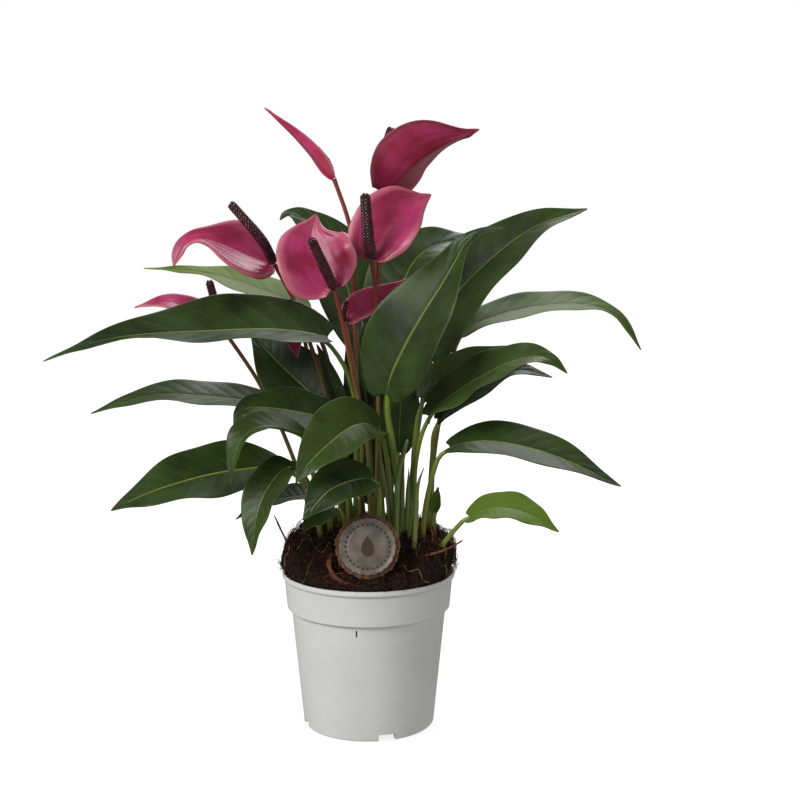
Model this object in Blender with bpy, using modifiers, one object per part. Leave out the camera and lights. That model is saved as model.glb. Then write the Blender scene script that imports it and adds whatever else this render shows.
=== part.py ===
"""A potted anthurium: a grower's pot of coir with leaves, flowers and a tag.

The origin is the centre of the pot's underside and +Z is up. The front is -Y.
Every leaf is one grown piece, stalk and blade together, lofted along a smooth
path. A flower is three pieces: its stalk, its spathe and its spadix.
"""
import math

import bmesh
import bpy
from mathutils import Matrix, Vector

# ---------------------------------------------------------------- dimensions
MM = 0.001
GAP = 0.0003

POT_HEIGHT = 0.108
POT_RIM_RADIUS = 0.060
POT_BASE_RADIUS = 0.0455
POT_WALL = 0.0013
POT_BAND = 0.025
POT_STEP = 0.003
BAND_FLARE = 0.002
RIM_BEAD = 0.0015
POT_FLOOR = 0.006
POT_CHANNEL = 0.0045
POT_PAD_RADIUS = 0.016
FOOT_RING_WIDTH = 0.004
EDGE_BREAK = 0.001
NOTCH_WIDTH = 0.012
NOTCH_DEPTH = 0.012
NOTCH_COUNT = 4
FIRST_NOTCH = math.radians(-73)
DRAIN_RADIUS = 0.0035
DRAIN_COUNT = 6
FIRST_DRAIN = math.radians(17)
POT_SIDES = 48
POT_STEP_Z = POT_HEIGHT - POT_BAND
POT_BODY_TOP = POT_RIM_RADIUS - POT_STEP - BAND_FLARE - RIM_BEAD

SOIL_HEAD = 0.028
SOIL_SLACK = 0.0006
SOIL_LIFT = 2 * SOIL_SLACK
SOIL_SIDES = 36
SOCKET_DEPTH = 0.008

# The layout below is drawn for a rim of 60 mm and coir heaped 28 mm over it.
DRAWN_RIM = 60.0
DRAWN_HEAD = 28.0

PLANT_SCALE = 1.0
LEAF_WIDTH_SCALE = 1.0
STALK_SCALE = 1.0
BLADE_THICKNESS = 0.0009

TAG_RADIUS = 0.0185
TAG_RING_RADIUS = 0.0212
TAG_THICKNESS = 0.0012
TAG_TILT = math.radians(12)
TAG_CENTRE = (0.5, -50.5, 28.5)
DISC_SIDES = 48
STAKE_WIDTH = 0.005
STAKE_THICKNESS = 0.0016
STAKE_LENGTH = 0.044
STAKE_TOP = 0.009


# ------------------------------------------------------------ the scene tidy
for old in list(bpy.data.objects):
    bpy.data.objects.remove(old)

parts = bpy.data.collections.new("potted_anthurium")
cutters = bpy.data.collections.new("cutters")
sockets = bpy.data.collections.new("sockets")
for collection in (parts, cutters, sockets):
    bpy.context.scene.collection.children.link(collection)


def principled(name, colour, roughness, metallic=0.0):
    """A material with one Principled BSDF."""
    made = bpy.data.materials.new(name)
    made.use_nodes = True
    shader = made.node_tree.nodes["Principled BSDF"]
    shader.inputs["Base Color"].default_value = (*colour, 1.0)
    shader.inputs["Roughness"].default_value = roughness
    shader.inputs["Metallic"].default_value = metallic
    return made


POT_WHITE = principled("pot_white", (0.62, 0.62, 0.61), 0.45)
COIR = principled("coir", (0.055, 0.022, 0.012), 0.95)
LEAF_GREEN = principled("leaf_green", (0.025, 0.055, 0.015), 0.35)
SPATHE_PINK = principled("spathe_pink", (0.34, 0.03, 0.09), 0.35)
STALK_RED = principled("stalk_red", (0.16, 0.03, 0.02), 0.45)
SPADIX_MAROON = principled("spadix_maroon", (0.05, 0.012, 0.02), 0.6)
SHOOT_GREEN = principled("shoot_green", (0.12, 0.18, 0.04), 0.45)
ROOT_BROWN = principled("root_brown", (0.18, 0.07, 0.03), 0.8)
TAG_GREY = principled("tag_grey", (0.45, 0.42, 0.39), 0.6)
TAG_BROWN = principled("tag_brown", (0.20, 0.12, 0.07), 0.7)


def finish(mesh, name, material, collection=parts, smooth=True):
    """Put a mesh in the scene as one named object."""
    made = bpy.data.objects.new(name, mesh)
    collection.objects.link(made)
    if collection is parts:
        mesh.materials.append(material)
    else:
        made.hide_render = True
        made.display_type = "WIRE"
    if smooth:
        mesh.shade_smooth()
        mesh.set_sharp_from_angle(angle=math.radians(50))
    return made


# ------------------------------------------------------------- shared curves
PATH_STEPS = 24
TUBE_SIDES = 8


def smooth_path(points):
    """A smooth curve through points: close-set points and the length up to each."""
    knots = [points[0] * 2 - points[1]] + list(points) + [points[-1] * 2 - points[-2]]
    fine = []
    for i in range(1, len(knots) - 2):
        p0, p1, p2, p3 = knots[i - 1], knots[i], knots[i + 1], knots[i + 2]
        for step in range(PATH_STEPS):
            t = step / PATH_STEPS
            fine.append(
                0.5 * (2 * p1 + (p2 - p0) * t
                       + (2 * p0 - 5 * p1 + 4 * p2 - p3) * t * t
                       + (3 * p1 - p0 - 3 * p2 + p3) * t * t * t)
            )
    fine.append(points[-1].copy())
    lengths = [0.0]
    for a, b in zip(fine, fine[1:]):
        lengths.append(lengths[-1] + (b - a).length)
    return fine, lengths


def point_at(curve, distance):
    """The point at a distance along a curve made by smooth_path."""
    fine, lengths = curve
    distance = min(max(distance, 0.0), lengths[-1])
    low, high = 0, len(lengths) - 1
    while high - low > 1:
        middle = (low + high) // 2
        if lengths[middle] <= distance:
            low = middle
        else:
            high = middle
    span = max(lengths[high] - lengths[low], 1e-9)
    return fine[low].lerp(fine[high], (distance - lengths[low]) / span)


def tangent_at(curve, distance):
    """The direction of a curve at a distance along it."""
    near = point_at(curve, distance - 0.0012)
    far = point_at(curve, distance + 0.0012)
    return (far - near).normalized()


def table_at(table, u):
    """A value read by straight lines between (position, value) pairs."""
    for (u0, v0), (u1, v1) in zip(table, table[1:]):
        if u <= u1:
            return v0 + (v1 - v0) * (u - u0) / (u1 - u0)
    return table[-1][1]


def upright_frame(tangent, face):
    """Side and face directions square to the tangent."""
    normal = (face - tangent * face.dot(tangent)).normalized()
    return tangent.cross(normal).normalized(), normal


def loft(rings, start, end):
    """One closed body through rings of equal count, with a pole at each end."""
    bm = bmesh.new()
    first = bm.verts.new(start)
    rows = [[bm.verts.new(p) for p in ring] for ring in rings]
    last = bm.verts.new(end)
    count = len(rows[0])
    for k in range(count):
        after = (k + 1) % count
        bm.faces.new((first, rows[0][after], rows[0][k]))
        # The two sides of a thin blade are split along the same diagonals.
        rising = (4 * k // count) % 2 == 0
        for low, high in zip(rows, rows[1:]):
            if rising:
                bm.faces.new((low[k], low[after], high[after]))
                bm.faces.new((low[k], high[after], high[k]))
            else:
                bm.faces.new((low[k], low[after], high[k]))
                bm.faces.new((low[after], high[after], high[k]))
        bm.faces.new((rows[-1][k], rows[-1][after], last))
    bmesh.ops.recalc_face_normals(bm, faces=bm.faces)
    mesh = bpy.data.meshes.new("loft")
    bm.to_mesh(mesh)
    bm.free()
    return mesh


def circle(centre, side, normal, radius):
    """A ring of points square to a path, starting at its left side."""
    ring = []
    for k in range(TUBE_SIDES):
        angle = math.pi - k * 2 * math.pi / TUBE_SIDES
        ring.append(centre + side * math.cos(angle) * radius + normal * math.sin(angle) * radius)
    return ring


def tube(curve, start, end, radii, face, rings):
    """A closed round mesh along part of a curve, and its rings."""
    rows = []
    for k in range(rings):
        u = k / (rings - 1)
        distance = start + (end - start) * u
        side, normal = upright_frame(tangent_at(curve, distance), face)
        rows.append(circle(point_at(curve, distance), side, normal, table_at(radii, u)))
    first = point_at(curve, start) - tangent_at(curve, start) * 0.0003
    last = point_at(curve, end) + tangent_at(curve, end) * 0.4 * radii[-1][1]
    return loft(rows, first, last), rows


# --------------------------------------------------------- pot and soil form
def inner_radius(z):
    """The pot's inside radius at a height."""
    if z >= POT_STEP_Z:
        share = (z - POT_STEP_Z) / POT_BAND
        return POT_BODY_TOP + POT_STEP + 1.1 * BAND_FLARE * share - POT_WALL
    return POT_BASE_RADIUS + (POT_BODY_TOP - POT_BASE_RADIUS) * z / POT_STEP_Z - POT_WALL


def soil_top(x, y):
    """The height of the coir's top over the rim, at a place in the pot."""
    reach = math.hypot(x, y) / POT_RIM_RADIUS
    front = min(1.0, max(0.0, (y / POT_RIM_RADIUS + 0.87) / 0.57))
    ramp = 0.10 + 0.90 * front * (2 - front)
    lumps = 0.06 * math.sin(x * 150 + 1.0) * math.cos(y * 130 - 0.6)
    return SOIL_HEAD * ramp * (1 + lumps) * (1 - 0.42 * reach ** 8)


def place(x, y, z):
    """A design point, in millimetres, with its height over the pot's rim."""
    return Vector((x * MM, y * MM, z * MM)) * PLANT_SCALE + Vector((0, 0, POT_HEIGHT))


def by_rim(x, y, z):
    """A design point of a thing held by the coir, which follows the rim and heap."""
    across = POT_RIM_RADIUS / DRAWN_RIM
    return Vector((x * across, y * across, POT_HEIGHT + z * SOIL_HEAD / DRAWN_HEAD))


def foot(x, y):
    """Where a stalk starts: SOCKET_DEPTH under the coir's top."""
    at = by_rim(x, y, 0)
    return at + Vector((0, 0, soil_top(at.x, at.y) - SOCKET_DEPTH))


def socket(name, rings, whole=False):
    """A cutter round the start of a stalk, or all of it, wider by the gap."""
    centres = [sum(ring, Vector()) / len(ring) for ring in rings]
    used = 2
    while used < len(rings) and (whole or (centres[used - 1] - centres[0]).length < 0.017):
        used += 1
    wider = []
    for ring, centre in zip(rings[:used], centres):
        wider.append([p + (p - centre).normalized() * GAP for p in ring])
    along = (centres[1] - centres[0]).normalized()
    beyond = (centres[used - 1] - centres[used - 2]).normalized()
    wider[0] = [p - along * 0.0005 for p in wider[0]]
    first = centres[0] - along * 0.0009
    last = centres[used - 1] + beyond * 0.0012
    finish(loft(wider, first, last), name + "_socket", None, sockets, smooth=False)


# -------------------------------------------------------------------- leaves
LONG_OUTLINE = [
    (0.00, 0.06), (0.03, 0.42), (0.08, 0.68), (0.16, 0.90), (0.24, 1.0), (0.33, 0.99),
    (0.45, 0.86), (0.57, 0.64), (0.68, 0.42), (0.78, 0.24), (0.88, 0.11), (0.95, 0.06),
    (1.0, 0.03),
]
EVEN_OUTLINE = [
    (0.00, 0.06), (0.03, 0.40), (0.08, 0.64), (0.16, 0.86), (0.27, 0.98), (0.38, 1.0),
    (0.52, 0.92), (0.66, 0.74), (0.78, 0.50), (0.88, 0.27), (0.95, 0.12), (1.0, 0.04),
]
SPATHE_OUTLINE = [
    (0.00, 0.10), (0.04, 0.52), (0.12, 0.82), (0.24, 1.0), (0.38, 0.98), (0.52, 0.84),
    (0.66, 0.60), (0.79, 0.34), (0.89, 0.17), (0.95, 0.09), (1.0, 0.04),
]
CUP_OUTLINE = [
    (0.00, 0.10), (0.04, 0.50), (0.12, 0.85), (0.24, 1.0), (0.50, 1.0), (0.66, 0.84),
    (0.76, 0.56), (0.85, 0.27), (0.93, 0.11), (1.0, 0.04),
]
TAILED_OUTLINE = [
    (0.00, 0.10), (0.04, 0.52), (0.12, 0.84), (0.24, 1.0), (0.36, 0.96), (0.47, 0.72),
    (0.56, 0.48), (0.66, 0.36), (0.80, 0.29), (0.90, 0.19), (0.95, 0.10), (1.0, 0.04),
]
BLADE_STATIONS = (0.03, 0.10, 0.20, 0.32, 0.45, 0.58, 0.70, 0.81, 0.90, 0.96)


def blade_ring(centre, tangent, side, normal, half, fold, core, back):
    """Eight points: left edge, over the midrib to the right edge, and under."""
    thick = BLADE_THICKNESS * 0.5
    edge_out = math.cos(fold) * half
    edge_up = math.sin(fold) * half
    sweep = tangent * back
    left = centre - side * edge_out + normal * edge_up - sweep
    right = centre + side * edge_out + normal * edge_up - sweep
    middle_up = edge_up * 0.36
    middle_left = centre - side * edge_out * 0.52 + normal * middle_up - sweep * 0.35
    middle_right = centre + side * edge_out * 0.52 + normal * middle_up - sweep * 0.35
    return [
        left,
        middle_left + normal * thick,
        centre + normal * max(thick, core * 0.5),
        middle_right + normal * thick,
        right,
        middle_right - normal * thick,
        centre - normal * max(thick, core),
        middle_left - normal * thick,
    ]


def blade_rings(curve, start, outline, width, fold, faces, stalk, lobe, flat=1.0):
    """The rings of a blade along the rest of a curve, and its tip."""
    length = curve[1][-1] - start
    rows = []
    for u in BLADE_STATIONS:
        distance = start + length * u
        tangent = tangent_at(curve, distance)
        face = faces[0].lerp(faces[1], u)
        side, normal = upright_frame(tangent, face)
        half = max(width * 0.5 * table_at(outline, u), 0.0009)
        core = stalk * (1 - u) * 0.9 + 0.0003
        back = lobe * max(0.0, 1 - u / 0.3) ** 1.5
        bent = fold * (flat + (1 - flat) * min(1.0, u / 0.3))
        rows.append(blade_ring(point_at(curve, distance), tangent, side, normal,
                               half, bent, core, back))
    return rows, curve[0][-1].copy()


def make_leaf(name, base, stalk_points, blade_points, outline, width, fold, face,
              tip_face=None, stalk=1.9, lobe=6.0):
    """One leaf: a round stalk that opens into a folded, pointed blade."""
    stalk_radius = stalk * MM * STALK_SCALE
    wide = width * MM * LEAF_WIDTH_SCALE * PLANT_SCALE
    curve_points = [foot(*base)]
    curve_points += [place(*p) for p in stalk_points]
    curve_points += [place(*p) for p in blade_points]
    curve = smooth_path(curve_points)
    start = curve[1][PATH_STEPS * (1 + len(stalk_points))]
    faces = [Vector(face), Vector(tip_face or face)]
    rows = []
    for k in range(6):
        distance = start * k / 5.6
        side, normal = upright_frame(tangent_at(curve, distance), faces[0])
        radius = stalk_radius * (1.0 - 0.18 * k / 5)
        rows.append(circle(point_at(curve, distance), side, normal, radius))
    blade, tip = blade_rings(curve, start, outline, wide, math.radians(fold),
                             faces, stalk_radius * 0.8, min(lobe * MM, wide * 0.13))
    bottom = curve[0][0] - tangent_at(curve, 0.0) * 0.0003
    finish(loft(rows + blade, bottom, tip), name, LEAF_GREEN)
    socket(name, rows)


# name, foot on the soil, stalk points, blade points (the first is its base),
# outline, width, fold in degrees, the way the upper side looks at base and tip.
LEAVES = [
    ("leaf_left_long", (-9, 5), [(-9, -2, 116), (-18, -4, 144)],
     [(-27, -6, 162), (-62, -12, 169), (-102, -22, 169), (-141, -32, 168),
      (-174, -40, 164), (-210, -48, 151)],
     LONG_OUTLINE, 60, 20, (0, -0.50, 0.87)),
    ("leaf_left_pale", (-15, 25), [(-24, 29, 120), (-34, 30, 154)],
     [(-45, 32, 178), (-84, 38, 195), (-119, 44, 204), (-160, 50, 206)],
     LONG_OUTLINE, 42, 8, (0, -0.30, 1)),
    ("leaf_left_mid", (-31, 17), [(-36, 16, 50), (-46, 12, 92)],
     [(-59, 8, 112), (-88, 3, 119), (-122, -2, 123), (-149, -6, 123), (-188, -10, 111)],
     EVEN_OUTLINE, 38, 8, (0, -0.34, 1)),
    ("leaf_inner_left", (-10, 17), [(-20, 14, 90)],
     [(-28, 16, 108), (-42, 22, 122), (-63, 32, 140), (-84, 44, 160)],
     EVEN_OUTLINE, 48, 10, (-0.35, -0.85, 0.45)),
    ("leaf_inner_low", (-21, 2), [(-17, -4, 85)],
     [(-20, -8, 104), (-45, -11, 112), (-69, -14, 116), (-83, -17, 115), (-90, -21, 105)],
     EVEN_OUTLINE, 38, 12, (0, -0.60, 0.80)),
    ("leaf_drooping", (-26, -8), [(-28, -20, 80)],
     [(-40, -35, 100), (-61, -48, 109), (-76, -57, 107), (-84, -63, 94), (-87, -66, 73)],
     EVEN_OUTLINE, 32, 16, (0, -0.30, 1), (-0.85, -0.5, 0.1)),
    ("leaf_lower_left", (-34, 1), [(-42, -9, 60)],
     [(-61, -16, 75), (-85, -26, 76), (-111, -36, 73), (-142, -48, 65), (-167, -56, 54)],
     EVEN_OUTLINE, 54, 8, (0, -0.55, 0.85)),
    ("leaf_hanging", (-31, -17), [(-37, -27, 60)],
     [(-48, -37, 79), (-59, -49, 76), (-70, -61, 57), (-74, -68, 27)],
     EVEN_OUTLINE, 30, 16, (-0.5, -0.8, 0.25), (-0.5, -0.85, 0.1)),
    ("leaf_low_left", (-24, 5), [(-26, 4, 44)],
     [(-40, 4, 51), (-55, 6, 50), (-73, 8, 45), (-93, 10, 33)],
     EVEN_OUTLINE, 32, 12, (0, -0.25, 1)),
    ("leaf_hood", (20, -6), [(16, -9, 52), (12, -13, 86)],
     [(7, -21, 102), (-2, -32, 108), (-13, -45, 106), (-25, -57, 98), (-37, -65, 87),
      (-45, -69, 75)],
     EVEN_OUTLINE, 46, 18, (0, -0.65, 0.76), (-0.2, -0.9, 0.4)),
    ("leaf_glossy_small", (6, -25), [(8, -34, 60)],
     [(3, -42, 72), (-9, -54, 74), (-25, -62, 68), (-41, -66, 50)],
     EVEN_OUTLINE, 36, 14, (0, -0.70, 0.75)),
    ("leaf_small_under", (-15, -22), [(-16, -24, 40)],
     [(-22, -30, 50), (-33, -38, 46), (-43, -44, 38)],
     EVEN_OUTLINE, 20, 12, (0, -0.6, 0.8)),
    ("leaf_narrow_left", (-13, -4), [(-15, 3, 82)],
     [(-17, 5, 106), (-25, 5, 130), (-31, 5, 147), (-35, 4, 157)],
     EVEN_OUTLINE, 14, 20, (0.25, -1, 0.2)),
    ("leaf_front_tall", (27, -14), [(23, -14, 40), (18, -20, 83)],
     [(13, -28, 126), (20, -33, 150), (34, -38, 177), (52, -42, 206), (68, -46, 232),
      (90, -52, 237)],
     LONG_OUTLINE, 60, 14, (-0.45, -0.85, 0.3), (-0.3, -0.7, 0.6), 2.6),
    ("leaf_right_dark", (27, 12), [(30, 18, 60), (36, 24, 104)],
     [(43, 27, 143), (57, 29, 184), (90, 33, 218), (120, 36, 238), (153, 40, 248)],
     EVEN_OUTLINE, 54, 12, (-0.35, -0.80, 0.5), (-0.2, -0.6, 0.8)),
    ("leaf_back_right", (14, 23), [(18, 32, 100)],
     [(18, 48, 160), (26, 61, 200), (44, 74, 220), (82, 89, 228)],
     EVEN_OUTLINE, 58, 12, (-0.3, -0.8, 0.5), (-0.1, -0.4, 0.9)),
    ("leaf_right_arching", (43, 15), [(46, 20, 80), (56, 28, 130)],
     [(63, 30, 160), (85, 36, 172), (114, 42, 179), (149, 48, 181), (176, 52, 173),
      (195, 54, 147)],
     EVEN_OUTLINE, 38, 10, (0, -0.36, 1)),
    ("leaf_right_bright", (34, 3), [(31, 1, 76)],
     [(38, 2, 120), (56, 4, 137), (77, 7, 148), (97, 10, 155)],
     EVEN_OUTLINE, 30, 10, (-0.25, -0.6, 0.8)),
    ("leaf_right_mid", (34, -11), [(32, -12, 72)],
     [(41, -18, 110), (53, -26, 124), (71, -32, 137), (94, -40, 150), (116, -44, 154),
      (131, -46, 143)],
     EVEN_OUTLINE, 40, 12, (-0.1, -0.5, 0.85)),
    ("leaf_right_under", (41, -3), [(44, -2, 80)],
     [(48, -6, 106), (64, -10, 120), (86, -14, 135), (103, -18, 142), (124, -20, 137)],
     EVEN_OUTLINE, 30, 10, (0, -0.4, 0.9)),
    ("leaf_right_low", (37, -21), [(39, -20, 48), (46, -21, 77)],
     [(55, -23, 90), (76, -30, 96), (102, -38, 94), (131, -47, 86),
      (166, -56, 70)],
     EVEN_OUTLINE, 40, 10, (0, -0.45, 0.9)),
    ("leaf_right_lowest", (46, -22), [(54, -25, 28)],
     [(68, -30, 44), (85, -38, 52), (104, -48, 51), (126, -57, 40)],
     EVEN_OUTLINE, 32, 10, (0, -0.45, 0.9)),
    ("leaf_sprout", (45, -12), [(45, -6, 34)],
     [(46, -5, 42), (47, -6, 50), (48, -8, 60)],
     EVEN_OUTLINE, 9, 30, (-0.3, -1, 0.1)),
    ("leaf_shaded_centre", (20, 8), [(20, 8, 64)],
     [(21, 8, 81), (22, 9, 103), (23, 11, 130), (26, 14, 155)],
     EVEN_OUTLINE, 28, 10, (0.3, -0.95, 0.2)),
    ("leaf_shaded_back", (2, 20), [(3, 20, 30)],
     [(3, 20, 44), (1, 23, 90), (-5, 29, 140), (-8, 36, 166), (-6, 43, 184)],
     EVEN_OUTLINE, 36, 8, (0.05, -0.95, 0.3)),
    ("leaf_back_top", (6, 31), [(2, 44, 90)],
     [(-6, 56, 150), (-14, 66, 185), (-25, 74, 216), (-42, 81, 236), (-58, 86, 245),
      (-66, 88, 239)],
     EVEN_OUTLINE, 50, 10, (0.1, -0.7, 0.7)),
]

for row in LEAVES:
    make_leaf(*row)


# ------------------------------------------------------------------- flowers
def make_flower(name, base, stalk_points, spathe_points, outline, width, fold, face,
                tip_face, spadix_points, spadix, stalk=1.7):
    """A flower: its stalk, the coloured spathe and the spadix over its base."""
    stalk_radius = stalk * MM * STALK_SCALE
    wide = width * MM * LEAF_WIDTH_SCALE * PLANT_SCALE
    curve = smooth_path([foot(*base)] + [place(*p) for p in stalk_points])
    reach = curve[1][-1]
    faces = [Vector(face), Vector(tip_face)]
    radii = [(0, stalk_radius), (1, stalk_radius * 0.85)]
    mesh, rings = tube(curve, 0.0, reach, radii, faces[0], 8)
    finish(mesh, name + "_stalk", STALK_RED)
    socket(name, rings)

    head = curve[0][-1]
    up = tangent_at(curve, reach)
    first = place(*spathe_points[0])
    toward = (first - head).normalized()
    clear = stalk_radius + GAP + 0.0006
    start = head + toward * clear - up * 0.001
    blade = smooth_path([start] + [place(*p) for p in spathe_points])
    rows, tip = blade_rings(blade, 0.0, outline, wide, math.radians(fold),
                            faces, 0.0011, min(0.004, wide * 0.1), 0.15)
    finish(loft(rows, start, tip), name + "_spathe", SPATHE_PINK)

    thick = spadix * MM * PLANT_SCALE
    rod_points = [place(*p) for p in spadix_points]
    lift = (rod_points[0] - head).normalized()
    begin = head + lift * (0.4 * stalk_radius + 0.0020)
    rod = smooth_path([begin] + rod_points)
    radii = [(0, thick * 0.75), (0.2, thick), (0.6, thick * 0.92), (0.88, thick * 0.74),
             (1, thick * 0.45)]
    mesh, rings = tube(rod, 0.0003, rod[1][-1], radii, faces[0], 7)
    finish(mesh, name + "_spadix", SPADIX_MAROON)


# name, foot, stalk points, spathe points past the stalk's head, outline, width,
# fold, the way its inner side looks at base and tip, spadix points and radius.
FLOWERS = [
    ("flower_top", (11, 1), [(7, 6, 100), (7, 12, 186), (8, 18, 260)],
     [(20, 14, 268), (36, 9, 283), (58, 5, 295), (75, 1, 301)], CUP_OUTLINE,
     60, 26, (-0.5, 0.65, 0.55), (-0.4, 0.4, 0.8),
     [(8, 27, 278), (16, 31, 303)], 3.3),
    ("flower_front", (4, -9), [(7, -8, 100), (6, -10, 193), (3, -14, 215)],
     [(9, -7, 230), (23, -1, 247), (43, 6, 258)], CUP_OUTLINE,
     46, 22, (-0.3, -1, 0.1), (-0.2, -1, 0.3),
     [(1, -21, 230), (-1, -25, 258)], 3.9),
    ("flower_middle", (2, -17), [(0, -17, 90), (-8, -16, 130), (-17, -25, 178),
                                 (-21, -30, 196)],
     [(-32, -22, 214), (-37, -15, 229), (-34, -9, 245)], CUP_OUTLINE,
     54, 22, (-0.2, -1, 0.25), (0, -0.8, 0.6),
     [(-27, -39, 211), (-35, -46, 230)], 3.4),
    ("flower_left", (-17, 11), [(-27, 9, 110), (-42, 10, 163), (-51, 9, 187),
                                (-63, 3, 211)],
     [(-83, -3, 219), (-101, -8, 227), (-115, -12, 229), (-124, -15, 223),
      (-128, -18, 211)], TAILED_OUTLINE,
     51, 20, (0, -0.65, 0.75), (-0.5, -0.5, 0.7),
     [(-71, -9, 229), (-90, -14, 252)], 3.4),
    ("flower_high_left", (-3, 12), [(-7, 13, 100), (-11, 16, 220), (-15, 20, 244),
                                    (-23, 22, 268)],
     [(-34, 24, 281), (-52, 27, 300), (-71, 30, 317)], SPATHE_OUTLINE,
     13, 42, (0.3, 0.9, 0.4), (0.3, 0.8, 0.5),
     [(-27, 29, 280), (-35, 33, 290)], 1.2),
    ("flower_behind_leaf", (-37, 23), [(-53, 32, 70), (-74, 38, 118), (-93, 32, 151),
                                       (-104, 26, 168)],
     [(-120, 26, 177), (-141, 26, 184), (-163, 27, 180)], SPATHE_OUTLINE,
     28, 14, (0, -0.4, 0.9), (0, -0.4, 0.9),
     [(-106, 20, 184), (-109, 15, 199)], 3.0),
    ("flower_small", (-6, -11), [(-4, -9, 100), (-10, -5, 144), (-15, -2, 172)],
     [(-9, 0, 180), (7, 3, 188), (28, 8, 201)], SPATHE_OUTLINE,
     23, 20, (-0.2, -0.8, 0.5), (0, -0.8, 0.5),
     [(-16, -7, 179), (-14, -10, 187)], 1.4),
    ("flower_hidden", (-24, 22), [(-32, 28, 100), (-46, 38, 158)],
     [(-50, 31, 165), (-52, 22, 161), (-49, 16, 146)], SPATHE_OUTLINE,
     20, 8, (0.3, 0.3, 0.9), (-0.2, -0.9, 0.3),
     [(-50, 43, 165), (-52, 46, 172)], 2.0),
]

for row in FLOWERS:
    make_flower(*row)


# ----------------------------------------------------------- shoots and roots
def make_rod(name, points, radii, material, foot_at=None):
    """A shoot that stands in the coir, or a root that lies half in it."""
    if foot_at:
        curve = smooth_path([foot(*foot_at)] + [place(*p) for p in points])
    else:
        curve = smooth_path([by_rim(*p) for p in points])
    scaled = [(u, r * MM * STALK_SCALE) for u, r in radii]
    face = Vector((0.2, -1, 0.15))
    mesh, rings = tube(curve, 0.0, curve[1][-1], scaled, face, 8)
    finish(mesh, name, material)
    socket(name, rings, whole=foot_at is None)


make_rod("shoot_blunt", [(20, -27, 60), (22, -27, 78), (27, -27, 96)],
         [(0, 2.2), (0.5, 2.0), (0.9, 1.8), (1, 0.9)], SHOOT_GREEN, (19, -27))
make_rod("shoot_pointed", [(33, -30, 52), (34, -30, 66), (38, -31, 78)],
         [(0, 1.9), (0.6, 1.6), (0.9, 0.8), (1, 0.3)], SHOOT_GREEN, (31, -31))
make_rod("root_left", [(-44, -10, 9), (-53, -9, 17), (-59, -6, 27), (-65, 0, 38)],
         [(0, 1.1), (0.5, 1.0), (1, 0.5)], ROOT_BROWN)
make_rod("root_front", [(-24, -36, 20), (-25, -46, 14), (-19, -51, 6), (-6, -53.5, 2.5)],
         [(0, 1.2), (0.3, 1.9), (0.8, 1.6), (1, 0.7)], ROOT_BROWN)
make_rod("root_right", [(38, -34, 18), (48, -35, 21), (57, -32, 24), (64, -27, 27)],
         [(0, 0.9), (0.5, 0.8), (1, 0.5)], ROOT_BROWN)


# ----------------------------------------------------------------------- tag
def turned(name, profile, material):
    """A closed profile of (radius, height) pairs turned round the Z axis."""
    mesh = bpy.data.meshes.new(name)
    points = [(radius, 0.0, height) for radius, height in profile]
    edges = [(k, (k + 1) % len(points)) for k in range(len(points))]
    mesh.from_pydata(points, edges, [])
    made = bpy.data.objects.new(name, mesh)
    parts.objects.link(made)
    screw = made.modifiers.new("Screw", "SCREW")
    screw.steps = POT_SIDES
    screw.render_steps = POT_SIDES
    screw.use_merge_vertices = True
    screw.merge_threshold = 0.00001
    screw.use_normal_calculate = True
    graph = bpy.context.evaluated_depsgraph_get()
    solid = bpy.data.meshes.new_from_object(made.evaluated_get(graph))
    bpy.data.objects.remove(made)
    bm = bmesh.new()
    bm.from_mesh(solid)
    bmesh.ops.remove_doubles(bm, verts=bm.verts, dist=0.00001)
    bmesh.ops.recalc_face_normals(bm, faces=bm.faces)
    bm.to_mesh(solid)
    bm.free()
    return finish(solid, name, material)


def ragged_disc(name, radius, thickness, scallops, depth, material):
    """A flat disc with a scalloped edge, its front on local -Y."""
    bm = bmesh.new()
    bmesh.ops.create_cone(bm, cap_ends=True, segments=DISC_SIDES, radius1=radius,
                          radius2=radius, depth=thickness)
    for vertex in bm.verts:
        angle = math.atan2(vertex.co.y, vertex.co.x)
        wave = math.cos(angle * scallops) + 0.5 * math.sin(angle * 7 + 1)
        vertex.co.xy *= 1 + depth * wave
    bmesh.ops.rotate(bm, verts=bm.verts, matrix=Matrix.Rotation(math.pi / 2, 3, "X"))
    mesh = bpy.data.meshes.new(name)
    bm.to_mesh(mesh)
    bm.free()
    return finish(mesh, name, material)


tag_place = Matrix.Translation(by_rim(*TAG_CENTRE)) @ Matrix.Rotation(-TAG_TILT, 4, "X")
disc = ragged_disc("tag_disc", TAG_RADIUS, TAG_THICKNESS, 24, 0.010, TAG_GREY)
disc.matrix_world = tag_place
backing = ragged_disc("tag_backing", TAG_RING_RADIUS, TAG_THICKNESS, 17, 0.016, TAG_BROWN)
backing.matrix_world = tag_place @ Matrix.Translation((0, TAG_THICKNESS + GAP, 0))


def stake_box(name, grow, collection):
    """The tag's stake, or with grow the slot that it stands in."""
    bm = bmesh.new()
    bmesh.ops.create_cube(bm, size=1)
    size = (STAKE_WIDTH + 2 * grow, STAKE_THICKNESS + 2 * grow, STAKE_LENGTH + 2 * grow)
    bmesh.ops.scale(bm, verts=bm.verts, vec=size)
    mesh = bpy.data.meshes.new(name)
    bm.to_mesh(mesh)
    bm.free()
    made = finish(mesh, name, TAG_BROWN, collection, smooth=False)
    behind = 1.5 * TAG_THICKNESS + 2 * GAP + STAKE_THICKNESS / 2
    made.matrix_world = tag_place @ Matrix.Translation((0, behind, STAKE_TOP - STAKE_LENGTH / 2))
    return made


stake_box("tag_stake", 0.0, parts)
stake_box("tag_stake_slot", GAP, sockets)

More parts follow.
